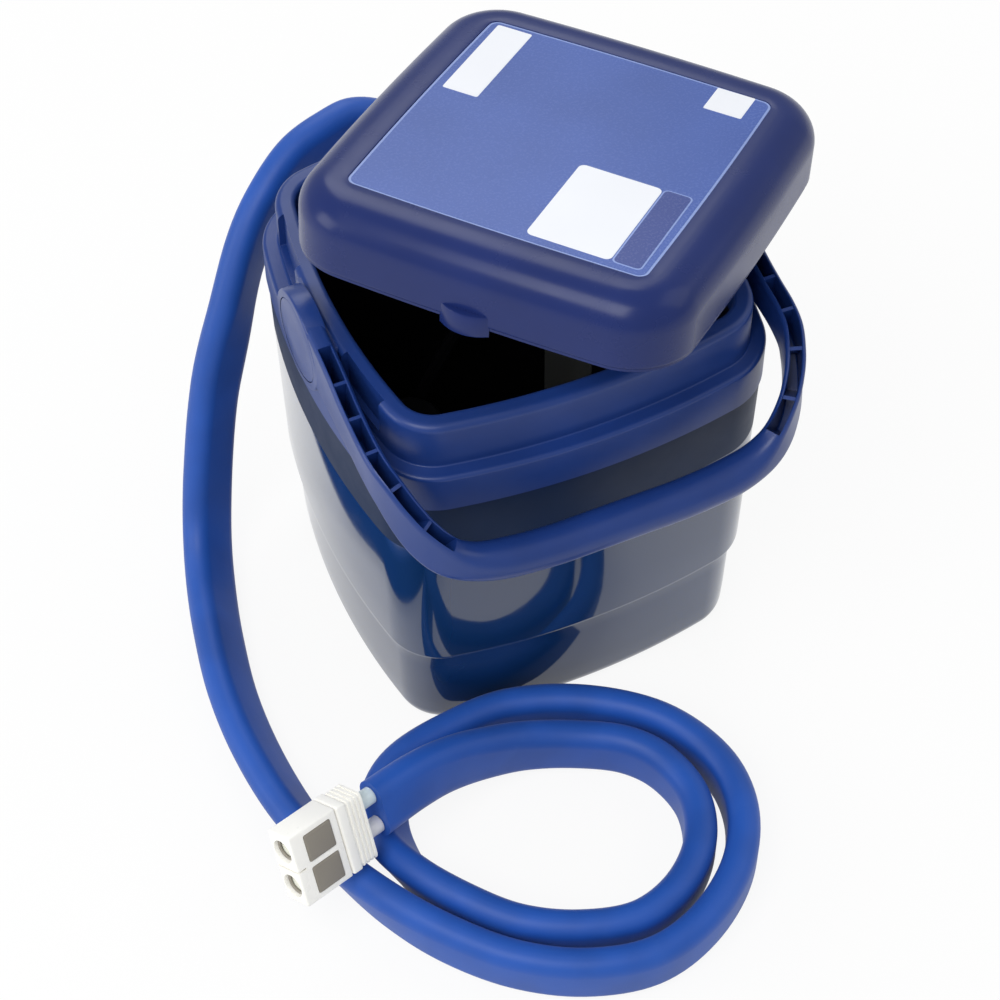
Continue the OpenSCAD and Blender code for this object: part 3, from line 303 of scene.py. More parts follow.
class Palette:
    """Every finish by name, made once."""

    made = {}

    @classmethod
    def get(cls, name):
        if name not in cls.made:
            cls.made[name] = cls.make(name)
        return cls.made[name]

    @classmethod
    def make(cls, name):
        scene = bpy.context.scene
        bucket, hose, conn = scene.therapy_bucket, scene.therapy_hose, scene.therapy_connector
        makers = {
            "shell": lambda: shell_gloss(bucket.shell),
            "collar": lambda: moulded("collar_satin_plastic", bucket.collar, 0.36, grain=0.010, wave=0.15,
                                      shine=0.38),
            "handle": lambda: moulded("handle_satin_plastic", bucket.collar, 0.33, grain=0.008, wave=0.12,
                                      shine=0.42),
            "lid": lambda: moulded("lid_satin_plastic", bucket.lid, 0.26, grain=0.006, wave=0.25, spread=0.06,
                                   shine=0.28),
            # A darker, duller copy of the shell's colour: painted shade for the shell's band under the collar and the
            # handle
            "shell_painted_shade": lambda: moulded("shell_painted_shade_satin", [v * 0.55 for v in bucket.shell], 0.42, wave=0.2,
                                          shine=0.12),
            "tank": lambda: moulded("tank_dark_plastic", (0.0022, 0.0022, 0.003), 0.45, grain=0.01),
            "label": lambda: film("label_blue_film", bucket.label, 0.10),
            "label_edge": lambda: film("label_pale_line", (0.25, 0.33, 0.62), 0.05),
            "label_deep": lambda: film("label_deep_panel", (0.05, 0.075, 0.25), 0.05),
            "panel": lambda: film("label_white_panel", (0.80, 0.81, 0.84), 0.02, 0.3),
            "inner_plate": lambda: film("inner_grey_plate", (0.13, 0.135, 0.13), 0.06, 0.4),
            "sleeve": lambda: sleeve_foam(hose.sleeve),
            "blue_tube": lambda: tubing("blue_water_tube", (0.82, 0.96, 0.99)),
            "white_tube": lambda: tubing("white_water_tube", (0.88, 0.87, 0.89)),
            "clear_tube": lambda: moulded("tank_tube", (0.006, 0.006, 0.008), 0.4),
            "acetal": lambda: moulded("connector_ivory_plastic", conn.body, 0.30, grain=0.006, spread=0.02),
            "button": lambda: moulded("button_grey_plastic", conn.button, 0.5, grain=0.03, spread=0.04, speck=600.0),
            "poppet": lambda: moulded("valve_pale_plastic", (0.86, 0.86, 0.74), 0.35, spread=0.05),
            "foam": lambda: foamed("insulating_foam", (0.80, 0.80, 0.77)),
            "pale": lambda: moulded("pale_moulded_plastic", (0.78, 0.78, 0.77), 0.42, spread=0.03),
            "pale_rubber": lambda: moulded("pale_seal_rubber", (0.55, 0.57, 0.60), 0.6, grain=0.03),
            "seal_ring": lambda: moulded("socket_ring_rubber", (0.30, 0.275, 0.23), 0.5, grain=0.02),
            "rubber": lambda: moulded("black_rubber", (0.014, 0.014, 0.016), 0.62, grain=0.04, speck=500.0),
            "pump": lambda: moulded("pump_black_plastic", (0.006, 0.006, 0.008), 0.45, grain=0.02),
            "impeller": lambda: moulded("impeller_plastic", (0.66, 0.62, 0.52), 0.4),
            "steel": lambda: metal("stainless_steel", (0.60, 0.60, 0.61), 0.22),
            "motor": lambda: metal("zinc_motor_case", (0.42, 0.43, 0.45), 0.34, (60.0, 60.0, 700.0)),
        }
        return makers[name]()


# ------------------------------------------------------------------ meshes
def piece(name, points, faces, finish, smooth=30.0):
    """A mesh piece from points in mm, with smooth faces and sharp edges over an angle."""
    mesh = bpy.data.meshes.new(name)
    mesh.from_pydata((np.asarray(points, float) * MM).tolist(), [], faces)
    bm = bmesh.new()
    bm.from_mesh(mesh)
    bmesh.ops.recalc_face_normals(bm, faces=bm.faces)
    bm.to_mesh(mesh)
    bm.free()
    obj = bpy.data.objects.new(name, mesh)
    bpy.context.scene.collection.objects.link(obj)
    if finish:
        mesh.materials.append(Palette.get(finish))
    soften(obj, smooth)
    return obj


def soften(obj, angle=30.0):
    mesh = obj.data
    mesh.polygons.foreach_set("use_smooth", [True] * len(mesh.polygons))
    mesh.set_sharp_from_angle(angle=math.radians(angle))
    mesh.update()


def outline(out, form=RIM_FORM):
    """An outline in plan, moved outward by `out`, as points in mm."""
    looks = bpy.context.scene.therapy_bucket
    side, corner = looks.side_points, looks.corner_points
    width, depth, round_r, bow = form
    reach_x, reach_y = width / 2 - round_r - bow, depth / 2 - round_r - bow
    r, pts = round_r + out, []
    for k in range(4):
        reach, chord = (reach_x, reach_y) if k % 2 == 0 else (reach_y, reach_x)
        a, b = 2 * math.atan(bow / chord), math.pi / 2 - 2 * math.atan(bow / reach)
        big = chord / math.sin(a)
        flat = [(reach + bow - big + (big + r) * math.cos(t), (big + r) * math.sin(t))
                for t in np.linspace(-a, a, side + 1)]
        turn = [(reach + r * math.cos(t), chord + r * math.sin(t)) for t in np.linspace(a, b, corner + 1)[1:-1]]
        for x, y in flat + turn:
            for _ in range(k):
                x, y = -y, x
            pts.append((x, y))
    return np.array(pts)


def skin(rings, looped=False, caps=True):
    """Points and faces of a solid through rings of equal length."""
    rings = [np.asarray(r, float) for r in rings]
    m, n = len(rings), len(rings[0])
    faces = []
    for j in range(m if looped else m - 1):
        k = (j + 1) % m
        for i in range(n):
            w = (i + 1) % n
            faces.append((j * n + i, j * n + w, k * n + w, k * n + i))
    if not looped and caps:
        faces.append(tuple(range(n - 1, -1, -1)))
        faces.append(tuple((m - 1) * n + i for i in range(n)))
    return np.vstack(rings), faces


def level(out, z, form=RIM_FORM):
    flat = outline(out, form)
    return np.column_stack([flat, np.full(len(flat), z)])


def levels_solid(levels, looped=False, at=None, form=RIM_FORM):
    """A solid whose level rings are an outline at [out, z] pairs, moved by a matrix."""
    points, faces = skin([level(out, z, form) for out, z in levels], looped)
    return (moved(points, at) if at is not None else points), faces


def moved(points, matrix):
    m = np.array(matrix)
    return np.asarray(points) @ m[:3, :3].T + m[:3, 3]


def arc(cx, cz, r, a0, a1, n=6):
    return [(cx + r * math.cos(math.radians(a)), cz + r * math.sin(math.radians(a))) for a in np.linspace(a0, a1, n)]


def lathe(profile, centre, axis, up, segments=96):
    """A solid of revolution from (distance along axis, radius) pairs."""
    axis, up = Vector(axis).normalized(), Vector(up).normalized()
    side = axis.cross(up)
    rings = []
    for d, r in profile:
        c = Vector(centre) + axis * d
        rings.append([c + up * (r * math.cos(t)) + side * (r * math.sin(t))
                      for t in np.linspace(0, 2 * math.pi, segments, endpoint=False)])
    return skin([np.array([tuple(p) for p in ring]) for ring in rings])


def plain_mesh(obj, name=None):
    """Freezes an object's modifiers into its own mesh."""
    bpy.context.view_layer.update()
    shown = obj.evaluated_get(bpy.context.evaluated_depsgraph_get())
    mesh = bpy.data.meshes.new_from_object(shown)
    obj.modifiers.clear()
    obj.data = mesh
    return obj


def combine(obj, others, operation="DIFFERENCE", smooth=30.0):
    """Cuts the others out of obj, or joins them to it."""
    for other in others:
        step = obj.modifiers.new("combine", "BOOLEAN")
        step.object, step.operation, step.solver = other, operation, "EXACT"
    plain_mesh(obj)
    for other in others:
        bpy.data.objects.remove(other)
    soften(obj, smooth)
    return obj


def join(name, objects):
    """One object from several, in the first one's place."""
    bm = bmesh.new()
    materials = []
    for obj in objects:
        slots = []
        for m in obj.data.materials:
            if m not in materials:
                materials.append(m)
            slots.append(materials.index(m))
        start = len(bm.faces)
        bm.from_mesh(obj.data)
        bm.faces.ensure_lookup_table()
        for face in bm.faces[start:]:
            face.material_index = slots[face.material_index]
    mesh = bpy.data.meshes.new(name)
    bm.to_mesh(mesh)
    bm.free()
    for m in materials:
        mesh.materials.append(m)
    for obj in objects:
        bpy.data.objects.remove(obj)
    made = bpy.data.objects.new(name, mesh)
    bpy.context.scene.collection.objects.link(made)
    soften(made)
    return made


def rounded_box(name, low, high, radius, finish, at=None, segments=4):
    """A box with rounded edges between two corners in mm."""
    low, high = Vector(low), Vector(high)
    bm = bmesh.new()
    bmesh.ops.create_cube(bm, size=1.0)
    bmesh.ops.scale(bm, vec=high - low, verts=bm.verts)
    bmesh.ops.translate(bm, vec=(low + high) / 2, verts=bm.verts)
    bmesh.ops.bevel(bm, geom=bm.edges, offset=radius, segments=segments, profile=0.5, affect="EDGES")
    points = [tuple(v.co) for v in bm.verts]
    faces = [tuple(v.index for v in f.verts) for f in bm.faces]
    bm.free()
    return piece(name, moved(points, at) if at is not None else points, faces, finish)


def prism(name, flat, z0, z1, finish, at=None, edge=0.0):
    """A plate from points in plan, with its upper edge rounded over."""
    flat = np.asarray(flat, float)
    centre = flat.mean(0)
    steps = [(0.0, z0), (0.0, z1 - edge)] + ([(edge * (1 - math.cos(t)), z1 - edge + edge * math.sin(t))
                                              for t in (0.5, 1.0, 1.57)] if edge else [])
    rings = []
    for inset, z in steps:
        away = flat - centre
        size = np.linalg.norm(away, axis=1, keepdims=True)
        rings.append(np.column_stack([flat - away / size * inset, np.full(len(flat), z)]))
    points, faces = skin(rings)
    return piece(name, moved(points, at) if at is not None else points, faces, finish)


def rounded_rect(x0, y0, x1, y1, r, n=6):
    pts = []
    for cx, cy, a in ((x1 - r, y1 - r, 0), (x0 + r, y1 - r, 90), (x0 + r, y0 + r, 180), (x1 - r, y0 + r, 270)):
        pts += arc(cx, cy, r, a, a + 90, n)
    return pts


# ------------------------------------------------------------------ curves
def on_curve(table, q):
    """A point of the smooth curve through the rows of table, at position q."""
    last = len(table) - 1
    i = min(int(math.floor(q)), last - 1)
    t = q - i
    p1, p2 = table[i], table[i + 1]
    p0 = table[i - 1] if i > 0 else 2 * p1 - p2
    p3 = table[i + 2] if i + 2 <= last else 2 * p2 - p1
    return 0.5 * (2 * p1 + (p2 - p0) * t + (2 * p0 - 5 * p1 + 4 * p2 - p3) * t * t
                  + (3 * p1 - p0 - 3 * p2 + p3) * t ** 3)


def frame_at(table, q, e=0.02):
    """Heading, sideways and upward directions at position q."""
    last = len(table) - 1
    t = on_curve(table, min(q + e, last))[:3] - on_curve(table, max(q - e, 0))[:3]
    t /= np.linalg.norm(t)
    s = np.array([-t[1], t[0], 0.0])
    s /= np.linalg.norm(s)
    return t, s, np.cross(t, s)


# ------------------------------------------------------------------ node trees
def new_tree(name, inputs):
    """A geometry tree with a Geometry socket each way and named inputs: (name, type, default)."""
    tree = bpy.data.node_groups.new(name, "GeometryNodeTree")
    face = tree.interface
    face.new_socket("Geometry", in_out="INPUT", socket_type="NodeSocketGeometry")
    for label, kind, default in inputs:
        socket = face.new_socket(label, in_out="INPUT", socket_type="NodeSocket" + kind)
        if default is not None:
            socket.default_value = default
    face.new_socket("Geometry", in_out="OUTPUT", socket_type="NodeSocketGeometry")
    return tree


def tree_node(tree, kind, links=None, **settings):
    node = tree.nodes.new(kind)
    for key, value in settings.items():
        setattr(node, key, value)
    for key, value in (links or {}).items():
        if isinstance(value, bpy.types.NodeSocket):
            tree.links.new(value, node.inputs[key])
        else:
            node.inputs[key].default_value = value
    return node


def run_tree(obj, tree, values):
    """Puts a geometry tree on obj as a modifier, with the given input values."""
    step = obj.modifiers.new(tree.name, "NODES")
    step.node_group = tree
    for item in tree.interface.items_tree:
        if item.in_out == "INPUT" and item.name in values:
            step[item.identifier] = values[item.name]
    return obj


def sweep_tree():
    """An oblong section swept along a curve that carries its own tilt."""
    tree = new_tree("oblong_sweep", [
        ("Width", "Float", 0.02), ("Height", "Float", 0.03), ("Corner", "Float", 0.005),
        ("Corner Points", "Int", 8), ("Finish", "Material", None)])
    inside = tree.nodes.new("NodeGroupInput")
    shape = tree_node(tree, "GeometryNodeCurvePrimitiveQuadrilateral",
                      {"Width": inside.outputs["Width"], "Height": inside.outputs["Height"]})
    fillet = tree_node(tree, "GeometryNodeFilletCurve", {
        "Curve": shape.outputs[0], "Radius": inside.outputs["Corner"], "Count": inside.outputs["Corner Points"],
        "Limit Radius": True}, mode="POLY")
    swept = tree_node(tree, "GeometryNodeCurveToMesh", {
        "Curve": inside.outputs["Geometry"], "Profile Curve": fillet.outputs[0], "Fill Caps": True})
    finish_tree(tree, swept.outputs[0], inside)
    return tree


def plates_tree():
    """Rounded plates on points that carry their own turn and size."""
    tree = new_tree("plates_on_points",
                    [("Corner", "Float", 0.1), ("Corner Points", "Int", 4), ("Finish", "Material", None)])
    inside = tree.nodes.new("NodeGroupInput")
    shape = tree_node(tree, "GeometryNodeCurvePrimitiveQuadrilateral", {"Width": 1.0, "Height": 1.0})
    fillet = tree_node(tree, "GeometryNodeFilletCurve", {
        "Curve": shape.outputs[0], "Radius": inside.outputs["Corner"], "Count": inside.outputs["Corner Points"],
        "Limit Radius": True}, mode="POLY")
    line = tree_node(tree, "GeometryNodeCurvePrimitiveLine", {"Start": (0, 0, -0.5), "End": (0, 0, 0.5)})
    plate = tree_node(tree, "GeometryNodeCurveToMesh",
                      {"Curve": line.outputs[0], "Profile Curve": fillet.outputs[0], "Fill Caps": True})
    turn = tree_node(tree, "GeometryNodeInputNamedAttribute", {"Name": "turn"}, data_type="FLOAT_VECTOR")
    size = tree_node(tree, "GeometryNodeInputNamedAttribute", {"Name": "size"}, data_type="FLOAT_VECTOR")
    rotation = tree_node(tree, "FunctionNodeEulerToRotation", {"Euler": turn.outputs["Attribute"]})
    placed = tree_node(tree, "GeometryNodeInstanceOnPoints", {
        "Points": inside.outputs["Geometry"], "Instance": plate.outputs[0], "Rotation": rotation.outputs[0],
        "Scale": size.outputs["Attribute"]})
    finish_tree(tree, placed.outputs[0], inside)
    return tree


def finish_tree(tree, geometry, inside):
    real = tree_node(tree, "GeometryNodeRealizeInstances", {"Geometry": geometry})
    dressed = tree_node(tree, "GeometryNodeSetMaterial",
                        {"Geometry": real.outputs[0], "Material": inside.outputs["Finish"]})
    tree_node(tree, "NodeGroupOutput", {"Geometry": dressed.outputs[0]})


def swept(name, points, tilts, values, finish):
    """A plain mesh swept along points in mm."""
    curve = bpy.data.curves.new(name, "CURVE")
    curve.dimensions, curve.twist_mode = "3D", "Z_UP"
    spline = curve.splines.new("POLY")
    spline.points.add(len(points) - 1)
    for i, (p, tilt) in enumerate(zip(points, tilts)):
        spline.points[i].co = (*(np.asarray(p) * MM), 1.0)
        spline.points[i].tilt = tilt
    path = bpy.data.objects.new(name + "_path", curve)
    bpy.context.scene.collection.objects.link(path)
    run_tree(path, sweep_tree(), {**values, "Finish": Palette.get(finish)})
    return from_tree(path, name)


def from_tree(source, name, smooth=30.0):
    """The evaluated result of a tree as a plain mesh object; the source goes."""
    bpy.context.view_layer.update()
    shown = source.evaluated_get(bpy.context.evaluated_depsgraph_get())
    mesh = bpy.data.meshes.new_from_object(shown)
    bpy.data.objects.remove(source)
    obj = bpy.data.objects.new(name, mesh)
    bpy.context.scene.collection.objects.link(obj)
    bm = bmesh.new()
    bm.from_mesh(mesh)
    bmesh.ops.recalc_face_normals(bm, faces=bm.faces)
    bm.to_mesh(mesh)
    bm.free()
    soften(obj, smooth)
    return obj


def plates(name, rows, finish, corner=0.12):
    """Rounded plates from (centre mm, rotation matrix, size mm) rows."""
    mesh = bpy.data.meshes.new(name + "_points")
    mesh.from_pydata([tuple(np.asarray(c) * MM) for c, _, _ in rows], [], [])
    turn = mesh.attributes.new("turn", "FLOAT_VECTOR", "POINT")
    size = mesh.attributes.new("size", "FLOAT_VECTOR", "POINT")
    turn.data.foreach_set("vector", [v for _, m, _ in rows for v in Matrix(m).to_euler()])
    size.data.foreach_set("vector", [v * MM for _, _, s in rows for v in s])
    source = bpy.data.objects.new(name + "_points", mesh)
    bpy.context.scene.collection.objects.link(source)
    run_tree(source, plates_tree(), {"Corner": corner, "Finish": Palette.get(finish)})
    return from_tree(source, name)


# ------------------------------------------------------------------ bucket
def pivot_cylinder(side, r, x0, x1, name="cutter", segments=96):
    points, faces = lathe([(x0, r), (x1, r)], (0, PIVOT_Y, PIVOT_Z), (side, 0, 0), (0, 0, 1), segments)
    return piece(name, points, faces, None)


class THERAPY_OT_shell(bpy.types.Operator):
    """Build the glossy outer shell with its step and drawn-in base"""
    bl_idname = "therapy.shell"
    bl_label = "Outer shell"

    def execute(self, context):
        w, top, seat_out = SHELL_WALL, LEDGE_Z - 3.3, SKIRT_OUT - COLLAR_WALL - SEAT
        b = BASE_OUT
        outer = ([(b - 12, 0.0), (b - 10.4, 0.25)]
                 + [(b - 1.6 - 8.6 * (1 - math.sin(t)) , 0.3 + 12.7 * (1 - math.cos(t)))
                    for t in np.linspace(0.15, 1.5, 9)]
                 + [(b - 1.0, 26), (b - 0.2, 60), (b, STEP_Z - 4), (b + 0.25, STEP_Z - 2.6), (b + 1.2, STEP_Z - 1.5)]
                 + [(STEP_OUT - 1.5, STEP_Z - 0.6), (STEP_OUT - 0.55, STEP_Z), (STEP_OUT - 0.1, STEP_Z + 1.0),
                    (STEP_OUT, STEP_Z + 2.4)]
                 + [(STEP_OUT + (BAND_OUT - STEP_OUT) * k, STEP_Z + 2.4 + (SKIRT_Z - 2.8 - STEP_Z) * k)
                    for k in (0.2, 0.4, 0.6, 0.7165, 0.86, 1.0)]
                 + [(BAND_OUT - 0.5, SKIRT_Z - 0.2), (seat_out, SKIRT_Z - 0.1), (seat_out, top)])
        inner = [(seat_out - w, top), (seat_out - w, SKIRT_Z + 1), (BAND_OUT - w, SKIRT_Z - 4),
                 (STEP_OUT - w, STEP_Z + 2.5),
                 (b - w, STEP_Z - 1), (b - 1.6 - w, 14), (b - 7 - w, 6), (b - 14 - w, 3)]
        points, faces = levels_solid(outer + inner)
        shell = piece("outer_shell_fine", points, faces, "shell", 40)
        cutters = [pivot_cylinder(s, POCKET_R + POCKET_WALL + SEAT, BOSS_IN_X - 1, RIM_W) for s in (-1, 1)]
        combine(shell, cutters, smooth=40)
        # The faces above SHADE_Z take a darker, duller copy of the shell's finish: painted shade under the collar and
        # the handle
        shell.data.materials.append(Palette.get("shell_painted_shade"))
        for face in shell.data.polygons:
            face.material_index = 1 if face.center.z > SHADE_Z * MM else 0
        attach(shell, "bucket")
        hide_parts("outer_shell")
        return {"FINISHED"}


class THERAPY_OT_collar(bpy.types.Operator):
    """Build the collar with its ledge, skirt, lip, latch notches and pivot pockets"""
    bl_idname = "therapy.collar"
    bl_label = "Collar"

    def execute(self, context):
        w, h, inner = COLLAR_WALL, RIM_H, LIP_OUT + LIP_T
        profile = ([(SKIRT_OUT - 0.5, SKIRT_Z), (SKIRT_OUT, SKIRT_Z + 0.6), (SKIRT_OUT, LEDGE_Z - 2.6)]
                   + arc(SKIRT_OUT - 2.4, LEDGE_Z - 2.4, 2.4, 8, 82, 6) + [(SKIRT_OUT - 3.0, LEDGE_Z), (0.9, LEDGE_Z)]
                   + arc(0.9, LEDGE_Z + 0.9, 0.9, 250, 190, 4) + [(0, LEDGE_Z + 2), (0, h - 14), (0, h - 4.4)]
                   + arc(-4.0, h - 4.0, 4.0, 6, 84, 8) + [(-5, h), (LIP_OUT + 3.2, h)]
                   + arc(LIP_OUT + 3.0, h - 3.0, 3.0, 94, 174, 7)
                   + [(LIP_OUT, h - 5), (LIP_OUT, h - LIP_DROP + 0.8), (LIP_OUT + 0.8, h - LIP_DROP),
                      (inner, h - LIP_DROP)]
                   + [(inner, h - 3.4), (-w, h - 3.4), (-w, LEDGE_Z - 3), (SKIRT_OUT - w, LEDGE_Z - 3),
                      (SKIRT_OUT - w, SKIRT_Z)])
        points, faces = levels_solid(profile, looped=True)
        collar = piece("collar_fine", points, faces, "collar")
        added = [self.pocket(s) for s in (-1, 1)] + [self.pocket_ring(s) for s in (-1, 1)] + self.notch_walls()
        combine(collar, added, "UNION")
        cuts = [pivot_cylinder(s, POCKET_R, RIM_W / 2, RIM_W) for s in (-1, 1)]
        cuts += [pivot_cylinder(s, PIN_R + 0.02, BOSS_IN_X - 1, RIM_W) for s in (-1, 1)]
        combine(collar, cuts + self.notches())
        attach(collar, "bucket")
        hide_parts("collar")
        return {"FINISHED"}

    def pocket(self, side):
        pad = pivot_cylinder(side, POCKET_R + POCKET_WALL, BOSS_IN_X, RIM_W / 2)
        room = box_mesh((-RIM_W, -RIM_D, SKIRT_Z), (RIM_W, RIM_D, RIM_H - 1))
        return combine(pad, [room], "INTERSECT")

    def pocket_ring(self, side):
        ring = pivot_cylinder(side, POCKET_R + POCKET_WALL, BOSS_IN_X, RIM_W)
        points, faces = levels_solid([(SKIRT_OUT - 0.05, SKIRT_Z + 1), (SKIRT_OUT - 0.05, LEDGE_Z - 1.2),
                                      (SKIRT_OUT - 0.6, LEDGE_Z - 0.6)])
        return combine(ring, [piece("room", points, faces, None)], "INTERSECT")

    def blocks(self, grow, z0, z1):
        near, far = NOTCH[0] - grow, NOTCH[1] + grow
        out = []
        for sx in (-1, 1):
            for sy in (-1, 1):
                x = sx * RIM_W / 2
                y0, y1 = sorted((sy * near, sy * far))
                out.append(((x - 20, y0, z0), (x + 20, y1, z1)))
        return out

    def band_piece(self, inside, outside, z0, z1):
        points, faces = levels_solid([(inside, z0), (outside, z0), (outside, z1), (inside, z1)], looped=True)
        return piece("band", points, faces, None)

    def notches(self):
        out = []
        for low, high in self.blocks(0, NOTCH[2], RIM_H + 5):
            block = rounded_box("notch", low, high, 1.0, None, segments=3)
            out.append(combine(block, [self.band_piece(-NOTCH[3], 3, NOTCH[2], RIM_H + 5)], "INTERSECT"))
        return out

    def notch_walls(self):
        back = -8.4 + SEAT
        return [combine(box_mesh(low, high), [self.band_piece(back, -1, NOTCH[2] - 2, RIM_H - 2)], "INTERSECT")
                for low, high in self.blocks(2, NOTCH[2] - 2, RIM_H - 2)]


def box_mesh(low, high, name="room"):
    x0, y0, z0 = low
    x1, y1, z1 = high
    points = [(x0, y0, z0), (x1, y0, z0), (x1, y1, z0), (x0, y1, z0), (x0, y0, z1), (x1, y0, z1), (x1, y1, z1),
              (x0, y1, z1)]
    faces = [(0, 3, 2, 1), (4, 5, 6, 7), (0, 1, 5, 4), (1, 2, 6, 5), (2, 3, 7, 6), (3, 0, 4, 7)]
    return piece(name, points, faces, None)


# ------------------------------------------------------------------ handle
ARM_MID_X = (ARM_IN_X + ARM_OUT_X) / 2
ARM_HALF = (ARM_OUT_X - ARM_IN_X) / 2 - 0.15
ARM_WALL, RIB_T = 2.3, 2.0
RIBS = (1.9, 3.25, 4.65, 6.25, 7.85, 9.8, 11.65)


def arm_station(x, y, top):
    """A station of the straight arm, which stands on the ledge: x, y, z, half thickness, half height."""
    floor = LEDGE_Z + 0.4
    return (x, y, (top + floor) / 2, ARM_HALF, (top - floor) / 2)


RIGHT_ARM = np.array([
    arm_station(ARM_MID_X, 2, 288.5), arm_station(ARM_MID_X, -14, 287), arm_station(ARM_MID_X, -30, 284.4),
    arm_station(121.4, -46, 281.2), arm_station(121.7, -62, 276.9), arm_station(121.8, -77, 274.2),
    (121.8, -90, 260.2, 5.65, 12.4), (120.8, -101.7, 257.4, 5.65, 12.4), (118.2, -111.1, 252, 5.65, 12.4),
    (114.7, -119.2, 243.7, 5.65, 12.3), (110, -126.2, 233.9, 5.75, 12.1), (104.2, -131.7, 224.7, 6.1, 11.9),
    (97.6, -135.8, 217.2, 6.95, 11.6), (89.8, -138.8, 212.4, 8.35, 11.2), (79.9, -141.1, 209.2, 9.85, 11),
    (67.4, -142.9, 207.4, 11, 11), (52.3, -144.2, 206.4, 11, 11), (34, -145, 206, 11, 11), (12, -145, 206, 11, 11)])
BAIL = np.vstack([RIGHT_ARM, RIGHT_ARM[::-1] * np.array([-1, 1, 1, 1, 1])])
BAIL_END = len(BAIL) - 1


def arm_section(a, b, n=8):
    """An oblong of half sizes a and b whose corners open up as it turns into the round grip."""
    r = min(a, b) - 2.6 + 2.2 * min(max((a - ARM_HALF) / 4.0, 0), 1)
    return [(sx * (a - r) + r * math.cos(t), sy * (b - r) + r * math.sin(t))
            for k, (sx, sy) in enumerate(((1, 1), (-1, 1), (-1, -1), (1, -1)))
            for t in np.linspace(k * math.pi / 2, (k + 1) * math.pi / 2, n)]


def bail_ring(q, pairs):
    row = on_curve(BAIL, q)
    _, out, up = frame_at(BAIL, q)
    return np.array([row[:3] + out * u + up * v for u, v in pairs(row)])


class THERAPY_OT_handle(bpy.types.Operator):
    """Build the bail handle: pivot plates, ribbed channel arms, smooth grip and pivot caps"""
    bl_idname = "therapy.handle"
    bl_label = "Bail handle"

    def execute(self, context):
        stops = np.linspace(0, BAIL_END, BAIL_END * 6 + 1)
        points, faces = skin([bail_ring(q, lambda row: arm_section(row[3], row[4])) for q in stops])
        bail = piece("handle_fine", points, faces, "handle")
        combine(bail, [self.plate(s) for s in (-1, 1)], "UNION")
        cuts = []
        for q0, q1 in ((RIBS[0], RIBS[-1]), (BAIL_END - RIBS[-1], BAIL_END - RIBS[0])):
            cuts.append(self.channel(q0, q1))
        for s in (-1, 1):
            cuts += [pivot_cylinder(s, PIN_R + 0.05, ARM_IN_X - 1, ARM_OUT_X + 1),
                     pivot_cylinder(s, PIN_HEAD_R + SEAT, ARM_OUT_X - 5, ARM_OUT_X + 1),
                     pivot_cylinder(s, CAP_R + SEAT, ARM_OUT_X - CAP_T - SEAT, ARM_OUT_X + 1)]
        combine(bail, cuts)
        ribs = plates("handle_ribs", self.rib_rows(), "handle", 0.16)
        handle = join("handle_fine", [bail, ribs])
        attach(handle, "bail")
        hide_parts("handle")
        caps = join("pivot_caps_fine", [self.cap(s) for s in (-1, 1)])
        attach(caps, "bail")
        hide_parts("pivot_caps")
        return {"FINISHED"}

    def plate(self, side):
        e = 1.0
        profile = ([(ARM_IN_X, HUB_R - e)]
                   + [(ARM_IN_X + e - e * math.cos(t), HUB_R - e + e * math.sin(t)) for t in (0.5, 1.0, 1.57)]
                   + [(ARM_OUT_X - e + e * math.sin(t), HUB_R - e + e * math.cos(t)) for t in (0.0, 0.5, 1.0, 1.5)])
        points, faces = lathe(profile, (0, PIVOT_Y, PIVOT_Z), (side, 0, 0), (0, 0, 1))
        return piece("plate", points, faces, None)

    def cap(self, side):
        e = 0.6
        profile = [(ARM_OUT_X - CAP_T, CAP_R)] + [(ARM_OUT_X - e + e * math.sin(t), CAP_R - e + e * math.cos(t))
                                                  for t in (0.0, 0.5, 1.0, 1.57)] + [(ARM_OUT_X, 12.0)]
        points, faces = lathe(profile, (0, PIVOT_Y, PIVOT_Z), (side, 0, 0), (0, 0, 1))
        return piece("cap", points, faces, "handle")

    def channel(self, q0, q1):
        """The open trough of one arm, with a small chamfer along its walls."""
        def pairs(row):
            w, top = row[3] - ARM_WALL, row[4]
            c = 0.45
            return [(-w + 0.6, -top + ARM_WALL), (w - 0.6, -top + ARM_WALL), (w, -top + ARM_WALL + 0.6),
                    (w, top - 0.9),
                    (w + c, top - 0.25), (w + c, top + 6), (-w - c, top + 6), (-w - c, top - 0.25), (-w, top - 0.9),
                    (-w, -top + ARM_WALL + 0.6)]
        stops = np.linspace(q0, q1, 61)
        points, faces = skin([bail_ring(q, pairs) for q in stops])
        return piece("channel", points, faces, None)

    def rib_rows(self):
        rows = []
        for q in list(RIBS[1:-1]) + [BAIL_END - q for q in RIBS[1:-1]]:
            row = on_curve(BAIL, q)
            t, out, up = frame_at(BAIL, q)
            half = row[4] - 0.9
            axes = np.column_stack([t, out, up])
            rows.append((row[:3] - up * 0.5, axes, (RIB_T, 2 * (row[3] - ARM_WALL) + 0.8, 2 * half + 0.2)))
        return rows


# ------------------------------------------------------------------ lid
def lid_matrix():
    lean = math.radians(LID_LEAN_TO)
    return (Matrix.Translation(LID_AT) @ Matrix.Rotation(math.radians(LID_TILT), 4,
                                                         Vector((-math.sin(lean), math.cos(lean), 0)))
            @ Matrix.Rotation(math.radians(LID_YAW), 4, "Z"))


